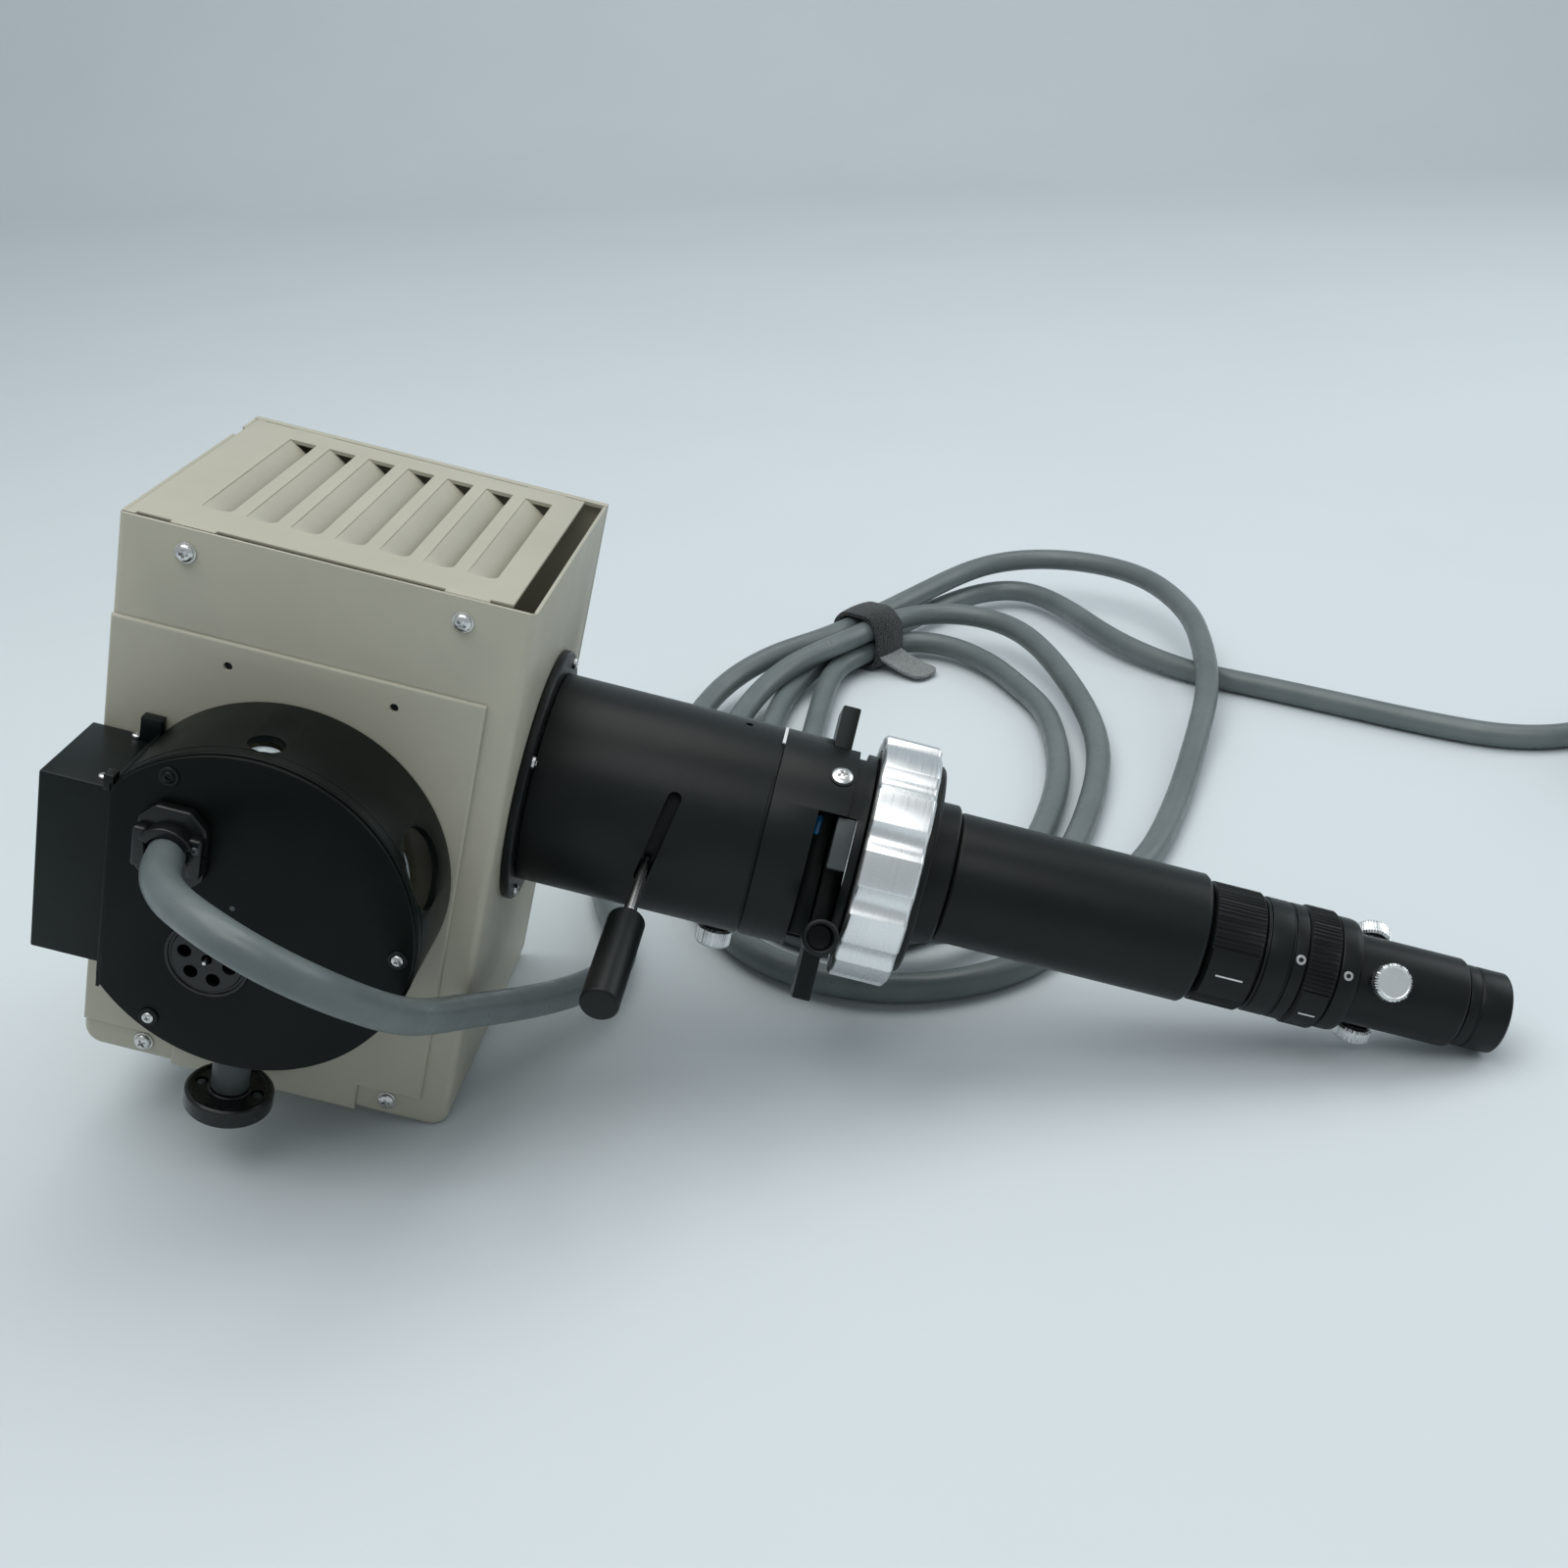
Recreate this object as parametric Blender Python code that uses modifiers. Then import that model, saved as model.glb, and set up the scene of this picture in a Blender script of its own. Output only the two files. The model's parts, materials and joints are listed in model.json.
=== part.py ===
"""Microscope arc-lamp house with its collector tube, filter section and illuminator tube.

The assembly is modelled upright in its own optical frame and then laid down as one piece:
+X runs along the optical axis from the lamp towards the tip, -Y is the front face that carries
the lamp drum, +Z is up, and the origin is where the optical axis crosses the middle of the box.
The object lies on a table: the box rests on the lower edge below the tube, and the tip of the
tube touches the table, so everything hangs from one tilted empty.
"""

from math import asin, atan2, ceil, cos, hypot, pi, radians, sin

import bmesh
import bpy
from mathutils import Matrix, Vector

LARGE, MEDIUM, SMALL, TINY = 40, 28, 16, 10  # facets round a turned piece, by its size

# Driving dimensions, in metres.
GAP = 0.0003  # clearance between neighbouring solids
SHEET = 0.0012  # sheet-metal thickness of the casing
BOX_WIDTH = 0.120
BOX_DEPTH = 0.110
BOX_TOP = 0.0765  # above the optical axis
BOX_BOTTOM = -0.105
BEND_RADIUS = 0.006  # lower corners of the folded casing
REAR_TRAY = 0.004  # depth of the rear cover's flange

DRUM_X = -0.0015
DRUM_Z = -0.019
DRUM_RADIUS = 0.051
DRUM_DEPTH = 0.0362
DRUM_CHORD = -0.0385  # flat side of the drum, from its centre
COVER_THICKNESS = 0.0015
GLAND_X = -0.0233
GLAND_Z = -0.0013
KNOB_X = -0.005
KNOB_Y = -0.074
KNOB_LEAD = 0.004  # carriage travel for each turn of the knob

TUBE_ROLL = radians(-30)  # the tube's own front is turned up from the box's front
TUBE_RADIUS = 0.0342
BORE_RADIUS = 0.029
FLANGE_X = 0.0603
COLLECTOR_X = 0.0632
FILTER_X = 0.1357
CLAMP_X = 0.167
RELAY_X = 0.197
APERTURE_X = 0.2815
MIDDLE_X = 0.2990
FIELD_X = 0.3126
END_COLLAR_X = 0.3233
END_BODY_X = 0.3308
TIP_X = 0.3678
TIP_END = 0.3820
TIP_RADIUS = 0.0133
LEVER_X = 0.103
LEVER_ANGLE = radians(-9)  # the lever's rest position, up from the box's front
LEVER_LEAD = 0.006  # how far the lever travels along the tube for each radian that it turns

CORD_DIAMETER = 0.0108

COLLECTION = bpy.data.collections.new("lamp_house_with_illuminator")
CUTTERS = bpy.data.collections.new("cutters")


# ---------------------------------------------------------------- scene and materials


def clear_scene():
    for obj in list(bpy.data.objects):
        bpy.data.objects.remove(obj)


def look(name, colour, roughness, metallic=0.0, alpha=1.0):
    """The named material, made once: a Principled shader with one colour and finish."""
    found = bpy.data.materials.get(name)
    if found:
        return found
    made = bpy.data.materials.new(name)
    made.use_nodes = True
    shader = made.node_tree.nodes["Principled BSDF"]
    shader.inputs["Base Color"].default_value = (*colour, 1.0)
    shader.inputs["Roughness"].default_value = roughness
    shader.inputs["Metallic"].default_value = metallic
    shader.inputs["Alpha"].default_value = alpha
    return made


BEIGE = ("casing_paint", (0.44, 0.41, 0.35), 0.5)
BLACK = ("black_paint", (0.014, 0.016, 0.016), 0.45)
ANODISED = ("black_anodised", (0.018, 0.020, 0.021), 0.38, 0.3)
STEEL = ("zinc_steel", (0.62, 0.63, 0.64), 0.3, 1.0)
SATIN = ("satin_aluminium", (0.74, 0.75, 0.76), 0.35, 1.0)
GREY_METAL = ("grey_shaft", (0.10, 0.11, 0.11), 0.5, 0.5)
PHENOLIC = ("black_phenolic", (0.012, 0.012, 0.012), 0.35)
BRASS = ("lamp_brass", (0.70, 0.52, 0.25), 0.3, 1.0)
GLASS = ("clear_glass", (0.9, 0.95, 0.95), 0.05, 0.0, 0.35)
BLUE_GLASS = ("blue_filter_glass", (0.05, 0.35, 0.6), 0.05, 0.0, 0.6)
MIRROR = ("mirror_coating", (0.9, 0.9, 0.9), 0.03, 1.0)
CORD_GREY = ("cord_pvc", (0.12, 0.13, 0.135), 0.45)
HOOK_LOOP = ("hook_and_loop", (0.02, 0.025, 0.025), 0.95)


# ---------------------------------------------------------------- shape helpers


def add(name, data, finish, parent, at=(0, 0, 0), turn=None):
    """An object in the assembly, or in the cutters if it has no finish."""
    obj = bpy.data.objects.new(name, data)
    obj.parent = parent
    obj.location = at
    if turn is not None:
        obj.rotation_euler = turn
    if finish is None:
        CUTTERS.objects.link(obj)
        obj.hide_render = True
        obj.display_type = "WIRE"
    else:
        COLLECTION.objects.link(obj)
        data.materials.append(look(*finish))
    return obj


def rounded(obj, width, segments=2, angle=radians(30)):
    """A bevel on the edges sharper than the given angle."""
    bevel = obj.modifiers.new("rounded_edges", "BEVEL")
    bevel.width = width
    bevel.segments = segments
    bevel.limit_method = "ANGLE"
    bevel.angle_limit = angle
    return obj


def cut(obj, *cutters):
    """Takes each cutter out of obj."""
    for cutter in cutters:
        boolean = obj.modifiers.new("cut_" + cutter.name, "BOOLEAN")
        boolean.operation = "DIFFERENCE"
        boolean.object = cutter
    return obj


def join(obj, *others):
    """Adds each other shape to obj, as one solid."""
    for other in others:
        boolean = obj.modifiers.new("join_" + other.name, "BOOLEAN")
        boolean.operation = "UNION"
        boolean.object = other
    return obj


def block(name, low, high, finish, parent, origin=(0, 0, 0), turn=None):
    """A box between two corners, given from the object's origin."""
    shape = bmesh.new()
    bmesh.ops.create_cube(shape, size=1.0)
    low, high = Vector(low), Vector(high)
    size = high - low
    bmesh.ops.scale(shape, vec=size, verts=shape.verts)
    bmesh.ops.translate(shape, vec=(low + high) / 2, verts=shape.verts)
    mesh = bpy.data.meshes.new(name)
    shape.to_mesh(mesh)
    shape.free()
    return add(name, mesh, finish, parent, origin, turn)


def prism(name, outline, start, depth, axis, finish, parent, origin=(0, 0, 0), turn=None):
    """A flat outline pushed along an axis. On X the outline is (y, z); on Y it is (x, z); on Z (x, y)."""
    place = {
        "X": lambda u, v: (start, u, v),
        "Y": lambda u, v: (u, start, v),
        "Z": lambda u, v: (u, v, start),
    }[axis]
    push = {"X": (depth, 0, 0), "Y": (0, depth, 0), "Z": (0, 0, depth)}[axis]
    shape = bmesh.new()
    face = shape.faces.new([shape.verts.new(place(u, v)) for u, v in outline])
    pushed = bmesh.ops.extrude_face_region(shape, geom=[face])
    moved = [item for item in pushed["geom"] if isinstance(item, bmesh.types.BMVert)]
    bmesh.ops.translate(shape, vec=push, verts=moved)
    bmesh.ops.recalc_face_normals(shape, faces=shape.faces)
    mesh = bpy.data.meshes.new(name)
    shape.to_mesh(mesh)
    shape.free()
    return add(name, mesh, finish, parent, origin, turn)


ALONG = {"X": (0, pi / 2, 0), "Y": (-pi / 2, 0, 0), "-Y": (pi / 2, 0, 0), "Z": (0, 0, 0), "-Z": (pi, 0, 0)}


def turned(name, profile, axis, finish, parent, at=(0, 0, 0), steps=LARGE, closed=True, turn=None):
    """A turned shape. The profile lists (distance along the axis, radius) from its far end to its near end,
    down the outer side; a closed profile comes back along the bore."""
    mesh = bpy.data.meshes.new(name)
    points = [(radius, 0.0, along) for along, radius in profile]
    edges = [(i, i + 1) for i in range(len(points) - 1)]
    if closed:
        edges.append((len(points) - 1, 0))
    mesh.from_pydata(points, edges, [])
    obj = add(name, mesh, finish, parent, at, ALONG[axis] if turn is None else turn)
    screw = obj.modifiers.new("turned", "SCREW")
    screw.steps = steps
    screw.render_steps = steps
    screw.use_merge_vertices = True
    screw.merge_threshold = 0.00001
    screw.use_smooth_shade = True
    return obj


def ring(name, start, end, outer, inner, axis, finish, parent, at=(0, 0, 0), steps=LARGE, edge=0.0, turn=None):
    """A tube or washer with optional chamfers on its outer edges."""
    profile = [
        (end, inner),
        (end, outer - edge),
        (end - edge, outer),
        (start + edge, outer),
        (start, outer - edge),
        (start, inner),
    ]
    if not edge:
        profile = [(end, inner), (end, outer), (start, outer), (start, inner)]
    return turned(name, profile, axis, finish, parent, at, steps, True, turn)


def rod(name, start, end, radius, axis, finish, parent, at=(0, 0, 0), steps=MEDIUM, edge=0.0, turn=None):
    """A solid cylinder with optional chamfers."""
    profile = [
        (end, 0),
        (end, radius - edge),
        (end - edge, radius),
        (start + edge, radius),
        (start, radius - edge),
        (start, 0),
    ]
    if not edge:
        profile = [(end, 0), (end, radius), (start, radius), (start, 0)]
    return turned(name, profile, axis, finish, parent, at, steps, False, turn)


def arc(centre, radius, first, last, count):
    """Points of an arc, with both ends."""
    step = (last - first) / count
    return [
        (centre[0] + radius * cos(first + step * i), centre[1] + radius * sin(first + step * i))
        for i in range(count + 1)
    ]


def empty(name, parent=None, turn=(0, 0, 0)):
    obj = bpy.data.objects.new(name, None)
    obj.parent = parent
    obj.rotation_euler = turn
    COLLECTION.objects.link(obj)
    return obj


# ---------------------------------------------------------------- lamp house


def casing_outline(inset):
    """The casing seen from the front: square at the top, folded round at the lower corners."""
    half = BOX_WIDTH / 2 - inset
    low = BOX_BOTTOM + inset
    bend = BEND_RADIUS - inset
    outline = [(half, BOX_TOP), (-half, BOX_TOP)]
    outline += arc((-half + bend, low + bend), bend, pi, 1.5 * pi, 4)
    outline += arc((half - bend, low + bend), bend, 1.5 * pi, 2 * pi, 4)
    return outline


def make_casing(house):
    """The folded casing with its front, two sides and bottom, open at the top and the back."""
    front = -BOX_DEPTH / 2
    back = BOX_DEPTH / 2 - REAR_TRAY - GAP
    shell = prism("outer_shell", casing_outline(0), front, back - front, "Y", BEIGE, house)
    hollow_outline = [(u, v + 0.01 if v == BOX_TOP else v) for u, v in casing_outline(SHEET)]
    hollow = prism("casing_hollow", hollow_outline, front + SHEET, BOX_DEPTH, "Y", None, house)
    lamp_port = rod("lamp_port", -0.07, -0.04, 0.040, "Y", None, house, (DRUM_X, 0, DRUM_Z), LARGE)
    tube_port = rod("tube_port", 0.05, 0.07, 0.030, "X", None, house, steps=LARGE)
    notch = block("side_notch", (-0.07, 0.031, BOX_TOP - 0.006), (-0.055, 0.040, 0.09), None, house)
    cut(shell, hollow, lamp_port, tube_port, notch)
    for index in range(7):
        x = -0.036 + 0.012 * index
        slot = block(f"bottom_vent_{index}", (x - 0.0025, -0.035, -0.12), (x + 0.0025, 0.035, -0.1), None, house)
        cut(shell, slot)
    cover = prism("rear_cover", casing_outline(0), back + GAP, REAR_TRAY, "Y", BEIGE, house)
    tray_outline = casing_outline(SHEET)
    tray = prism("rear_tray_hollow", tray_outline, back - 0.01, REAR_TRAY + 0.01 + GAP - SHEET, "Y", None, house)
    cut(cover, tray)


LOUVRE_COUNT = 7
LOUVRE_PITCH = 0.01313
LOUVRE_WIDTH = 0.0085
LOUVRE_FRONT = -0.035
LOUVRE_BACK = 0.0395
LOUVRE_DROP = 0.0062


def make_louvre_top(house):
    """The recessed top plate with its pressed louvres: each slat slopes down towards the tube side."""
    top = BOX_TOP - 0.0008
    left = -BOX_WIDTH / 2 + SHEET + GAP
    right = 0.0525
    front = -BOX_DEPTH / 2 + SHEET + 0.0008
    back = BOX_DEPTH / 2 - SHEET - 0.0008
    plate = block("louvre_top", (left, front, top - SHEET), (right, back, top), BEIGE, house)
    for index in range(LOUVRE_COUNT):
        x = LOUVRE_PITCH * (index - 3)
        low = (x - LOUVRE_WIDTH / 2, LOUVRE_FRONT, top - 0.01)
        high = (x + LOUVRE_WIDTH / 2, LOUVRE_BACK, top + 0.01)
        cut(plate, block(f"louvre_slot_{index}", low, high, None, house))
    slope = atan2(LOUVRE_DROP, LOUVRE_WIDTH)
    length = hypot(LOUVRE_DROP, LOUVRE_WIDTH)
    for index in range(LOUVRE_COUNT):
        x = LOUVRE_PITCH * (index - 3) - LOUVRE_WIDTH / 2
        hinge = (x - 0.0004, 0, top - 0.0002)
        low = (0, LOUVRE_FRONT - 0.0002, -0.0009)
        high = (length, LOUVRE_BACK - 0.0006, 0)
        slat = block(f"louvre_slat_{index}", low, high, None, house, hinge, (0, slope, 0))
        join(plate, slat)
    low = (left, front + 0.004, top - 0.014)
    flange = block("left_flange", low, (left + SHEET, 0.0295, top - 0.0004), None, house)
    join(plate, flange)


def make_front_plate(house):
    """The raised plate behind the drum, notched round the two lower screws."""
    back = -BOX_DEPTH / 2 - GAP
    outline = [
        (0.0508, 0.046),
        (-0.0596, 0.046),
        (-0.0596, -0.0952),
        (-0.0305, -0.0952),
        (-0.0305, -0.1052),
        (0.0303, -0.1052),
        (0.0303, -0.0952),
        (0.0508, -0.0952),
    ]
    plate = prism("front_plate", outline, back - SHEET, SHEET, "Y", BEIGE, house)
    port = rod("plate_port", -0.07, -0.04, 0.040, "Y", None, house, (DRUM_X, 0, DRUM_Z), LARGE)
    cut(plate, port)
    for side in (-1, 1):
        hole = rod(f"plate_hole_{side}", -0.07, -0.04, 0.0014, "Y", None, house, (side * 0.0245, 0, 0.0386), 8)
        cut(plate, hole)
    rounded(plate, 0.0003, 1)


def screw_profile(head_radius, head_height, shank_radius, shank_length):
    """A domed screw head over its shank, from the top of the head down."""
    crown = [
        (head_height, 0),
        (head_height * 0.97, head_radius * 0.45),
        (head_height * 0.72, head_radius * 0.85),
        (head_height * 0.25, head_radius),
        (0, head_radius),
    ]
    return crown + [(0, shank_radius), (-shank_length, shank_radius), (-shank_length, 0)]


def make_front_screws(house):
    """Four pan-head screws that hold the folded front to the inner frame."""
    places = ((-0.040, 0.0693), (0.040, 0.0693), (-0.040, -0.0992), (0.040, -0.0988))
    front = -BOX_DEPTH / 2
    for number, (x, z) in enumerate(places, 1):
        hole = rod(f"front_screw_hole_{number}", -0.06, -0.05, 0.0018, "Y", None, house, (x, 0, z), TINY)
        cut(bpy.data.objects["outer_shell"], hole)
        profile = screw_profile(0.0027, 0.0019, 0.0014, 0.004)
        place = (x, front - GAP, z)
        turned(f"front_screw_{number}", profile, "-Y", STEEL, house, place, TINY, False)


# ---------------------------------------------------------------- lamp drum


def drum_outline(radius, chord, count=40):
    """A circle round the drum's centre with its left side cut off flat."""
    chord_angle = pi - atan2((radius**2 - chord**2) ** 0.5, -chord)
    return arc((DRUM_X, DRUM_Z), radius, -chord_angle, chord_angle, count)


def make_drum(house):
    """The black lamp-socket drum: a flat-sided cylinder wall with its adjusting ports."""
    back = -BOX_DEPTH / 2 - 2 * GAP - SHEET
    front = back - DRUM_DEPTH
    drum = prism("lamp_drum", drum_outline(DRUM_RADIUS, DRUM_CHORD), back, front - back, "Y", BLACK, house)
    inner = drum_outline(DRUM_RADIUS - 0.0022, DRUM_CHORD + 0.002)
    hollow = prism("drum_hollow", inner, back + 0.01, front - back - 0.02, "Y", None, house)
    upper = rod("drum_upper_port", 0.04, 0.06, 0.0052, "Z", None, house, (DRUM_X - 0.001, -0.0835, DRUM_Z), SMALL)
    tilt = radians(63)
    side = rod("drum_side_port", 0.04, 0.06, 0.0100, "Z", None, house, (DRUM_X, -0.0795, DRUM_Z), SMALL, turn=(0, tilt, 0))
    lower = rod("drum_lower_port", 0.04, 0.06, 0.0065, "-Z", None, house, (KNOB_X, KNOB_Y, DRUM_Z), SMALL)
    cut(drum, hollow, upper, side, lower)
    plate_back = front - GAP
    outline = drum_outline(DRUM_RADIUS - 0.0004, DRUM_CHORD)
    cover = prism("drum_cover", outline, plate_back, -COVER_THICKNESS, "Y", BLACK, house)
    insert_hole = rod("insert_hole", -0.1, -0.08, 0.0118, "Y", None, house, (-0.009, 0, -0.034), MEDIUM)
    gland_hole = rod("gland_hole", -0.1, -0.08, 0.0065, "Y", None, house, (GLAND_X, 0, GLAND_Z), SMALL)
    cut(cover, insert_hole, gland_hole)
    for number in range(3):
        angle = number * 2 * pi / 3
        x = DRUM_X + 0.0462 * cos(angle)
        z = DRUM_Z + 0.0462 * sin(angle)
        hole = rod(f"drum_screw_hole_{number}", -0.1, -0.08, 0.0015, "Y", None, house, (x, 0, z), TINY)
        cut(cover, hole)
        place = (x, plate_back - COVER_THICKNESS - GAP, z)
        profile = screw_profile(0.0019, 0.0012, 0.0011, 0.0016)
        turned(f"drum_screw_{number + 1}", profile, "-Y", STEEL, house, place, TINY, False)
    return plate_back - COVER_THICKNESS


def make_junction_box(house):
    """The folded black cover that hides the ignition leads beside the drum."""
    right = DRUM_X + DRUM_CHORD - GAP
    low = (-0.0622, -0.0915, -0.0470)
    high = (right, -0.0573, 0.0110)
    cover = block("junction_box", low, high, BLACK, house)
    inner_low = (low[0] + SHEET, low[1] + SHEET, low[2] + SHEET)
    inner_high = (high[0] + 0.01, high[1] - SHEET, high[2] - SHEET)
    cut(cover, block("junction_hollow", inner_low, inner_high, None, house))
    tab = block("junction_tab", (right - 0.0020, -0.0605, 0.0105), (right, -0.0573, 0.0150), None, house)
    join(cover, tab)
    rounded(cover, 0.0004, 1)


def make_terminal_insert(house, face):
    """The round terminal insert with its ring of sockets and a centre pin."""
    profile = [(0.0008, 0), (0.0008, 0.0125), (GAP, 0.0125), (GAP, 0.0115), (-0.006, 0.0115), (-0.006, 0)]
    place = (-0.009, face, -0.034)
    insert = turned("terminal_insert", profile, "-Y", PHENOLIC, house, place, MEDIUM, False)
    for number in range(6):
        angle = radians(20) + number * pi / 3
        at = (place[0] + 0.0068 * cos(angle), 0, place[2] + 0.0068 * sin(angle))
        cut(insert, rod(f"terminal_socket_{number}", -0.11, face + 0.004, 0.0021, "Y", None, house, at, 8))
    pin = rod("terminal_pin", 0, 0.003, 0.0006, "-Y", None, house, place, 12)
    join(insert, pin)


def make_gland(house, face):
    """The two-lug clamp gland that grips the cord where it leaves the drum."""
    half, tall, nip = 0.0098, 0.0128, 0.0048
    outline = [
        (half, tall - nip),
        (half - nip, tall),
        (-half + nip, tall),
        (-half, tall - nip),
        (-half, -tall + nip),
        (-half + nip, -tall),
        (half - nip, -tall),
        (half, -tall + nip),
    ]
    place = (GLAND_X, face - GAP, GLAND_Z)
    gland = prism("cable_gland", outline, 0, -0.0095, "Y", PHENOLIC, house, place)
    bore = rod("gland_bore", -0.12, 0.0, CORD_DIAMETER / 2 + GAP, "Y", None, house, (GLAND_X, 0, GLAND_Z), SMALL)
    cut(gland, bore)
    rounded(gland, 0.0006, 1)
    return place[1] - 0.0095


def make_knob(house):
    """The lamp-height knob under the drum and its shaft. Both turn about the shaft's axis."""
    top = -0.0930
    place = (KNOB_X, KNOB_Y, top)
    profile = [
        (0, 0),
        (0, 0.0122),
        (-0.0012, 0.0135),
        (-0.0058, 0.0135),
        (-0.0068, 0.0125),
        (-0.0068, 0),
    ]
    knob = turned("centring_knob", profile, "Z", PHENOLIC, house, place, MEDIUM, False)
    for side in (-1, 1):
        at = (KNOB_X + side * 0.0088, KNOB_Y, top)
        dimple = rod(f"knob_dimple_{side}", -0.0015, 0.002, 0.0021, "Z", None, house, at, 8)
        cut(knob, dimple)
    rod("knob_shaft", GAP, 0.0330, 0.0058, "Z", GREY_METAL, house, place, SMALL)


# ---------------------------------------------------------------- lamp and mirror


def make_lamp(house):
    """The lamp carriage in the drum, its arm into the house, and the arc lamp in its two clamps."""
    carriage = block("lamp_carriage", (-0.028, -0.0640, -0.052), (0.026, -0.0590, 0.016), ANODISED, house)
    rounded(carriage, 0.0006, 1)
    arm = block("lamp_arm", (-0.008, -0.0587, -0.0530), (0.008, 0.008, -0.0460), ANODISED, house)
    rounded(arm, 0.0008, 1)
    lower = [(-0.0260, 0), (-0.0260, 0.0042), (-0.0380, 0.0050), (-0.0457, 0.0050), (-0.0457, 0)]
    turned("lamp_lower_cap", lower, "Z", BRASS, house, (0, 0, 0), SMALL, False)
    bulb = [(0.0257, 0), (0.0257, 0.0024), (0.0120, 0.0026)]
    bulb += [(z, r) for r, z in arc((0, 0), 0.0056, radians(62), radians(-62), 6)]
    bulb += [(-0.0120, 0.0026), (-0.0257, 0.0024), (-0.0257, 0)]
    turned("lamp_bulb", bulb, "Z", GLASS, house, (0, 0, 0), SMALL, False)
    fins = [(0.0475, 0), (0.0475, 0.0035)]
    for index in range(4):
        top = 0.0470 - 0.0026 * index
        fins += [(top, 0.0035), (top, 0.0095), (top - 0.0012, 0.0095), (top - 0.0012, 0.0035)]
    fins += [(0.0363, 0.0035), (0.0360, 0.0040), (0.0260, 0.0040), (0.0260, 0)]
    turned("lamp_heat_sink", fins, "Z", SATIN, house, (0, 0, 0), SMALL, False)


def make_mirror(house):
    """The concave mirror behind the lamp, on its bracket."""
    bracket = block("mirror_bracket", (-0.0520, -0.024, -0.1034), (-0.0500, 0.024, 0.030), STEEL, house)
    cut(bracket, rod("bracket_hole", -0.06, -0.04, 0.008, "X", None, house, steps=SMALL))
    face = arc((0, 0), 0.040, pi, radians(147), 5)
    back = [(-0.0380, 0.0218), (-0.0495, 0.0218), (-0.0495, 0)]
    turned("reflector_mirror", face + back, "X", MIRROR, house, (0, 0, 0), MEDIUM, False)


# ---------------------------------------------------------------- collector and filter section


def make_collector(house, roll):
    """Flange, collector tube with its lever slot, lens cell and lens, lever and clamp screw."""
    ring("tube_flange", FLANGE_X, FLANGE_X + 0.0026, 0.0413, 0.0296, "X", ANODISED, house, steps=LARGE, edge=0.0004)
    tube = ring("collector_tube", COLLECTOR_X, FILTER_X - 0.0005, TUBE_RADIUS, BORE_RADIUS, "X", ANODISED, house, steps=LARGE)
    first, last = LEVER_ANGLE - radians(6), LEVER_ANGLE + radians(41)
    outer = [(-u, v) for u, v in arc((0, 0), 0.040, first, last, 12)]
    inner = [(-u, v) for u, v in arc((0, 0), 0.025, last, first, 12)]
    slot = prism("lever_slot", outer + inner, LEVER_X - 0.0023, 0.0046, "X", None, house)
    for vertex in slot.data.vertices:
        angle = atan2(vertex.co.z, -vertex.co.y)
        vertex.co.x += LEVER_LEAD * (angle - LEVER_ANGLE)
    hole = rod("tube_pin_hole", 0.02, 0.04, 0.0012, "Z", None, house, (0.1237, 0.003, 0), 12)
    cut(tube, slot, hole)
    ring("lens_cell", 0.0930, 0.1130, 0.0286, 0.0245, "X", ANODISED, house, steps=MEDIUM, edge=0.0004)
    crown = arc((0.0662, 0), 0.0450, 0, radians(31.4), 4)
    back = arc((0.1397, 0), 0.0450, radians(148.6), pi, 4)
    turned("collector_lens", crown + back, "X", GLASS, house, (0, 0, 0), MEDIUM, False)
    lever_turn = (pi / 2 - LEVER_ANGLE, 0, 0)
    pin = [(0.0600, 0), (0.0600, 0.0021), (0.0292, 0.0014), (0.0292, 0)]
    turned("lever_pin", pin, "Z", STEEL, house, (LEVER_X, 0, 0), SMALL, False, lever_turn)
    grip = [
        (0.0990, 0),
        (0.0990, 0.0050),
        (0.0982, 0.0058),
        (0.0620, 0.0058),
        (0.0603, 0.0042),
        (0.0603, 0),
    ]
    turned("lever_handle", grip, "Z", ANODISED, house, (LEVER_X, 0, 0), 20, False, lever_turn)
    thumb_screw("collector_clamp_screw", house, (0.1285, 0, 0), radians(-78), TUBE_RADIUS)


def thumb_screw(name, parent, at, angle, surface, radius=0.0059, height=0.0062):
    """A knurled-head screw that stands radially on a tube, with its neck in a shallow seat."""
    base = surface + 0.0012
    profile = [
        (base + height, 0),
        (base + height, radius - 0.0006),
        (base + height - 0.0006, radius),
        (base + 0.0005, radius),
        (base, radius - 0.0005),
        (base, 0.0022),
        (surface + GAP, 0.0022),
        (surface + GAP, 0),
    ]
    return turned(name, profile, "Z", SATIN, parent, at, SMALL, False, (pi / 2 - angle, 0, 0))


SLIDER_HALF = 0.014
SLIDER_THICK = 0.0058
SLIDER_A_X = 0.1513
SLIDER_B_X = 0.1575
WINDOW_TOP = 0.0088


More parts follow.
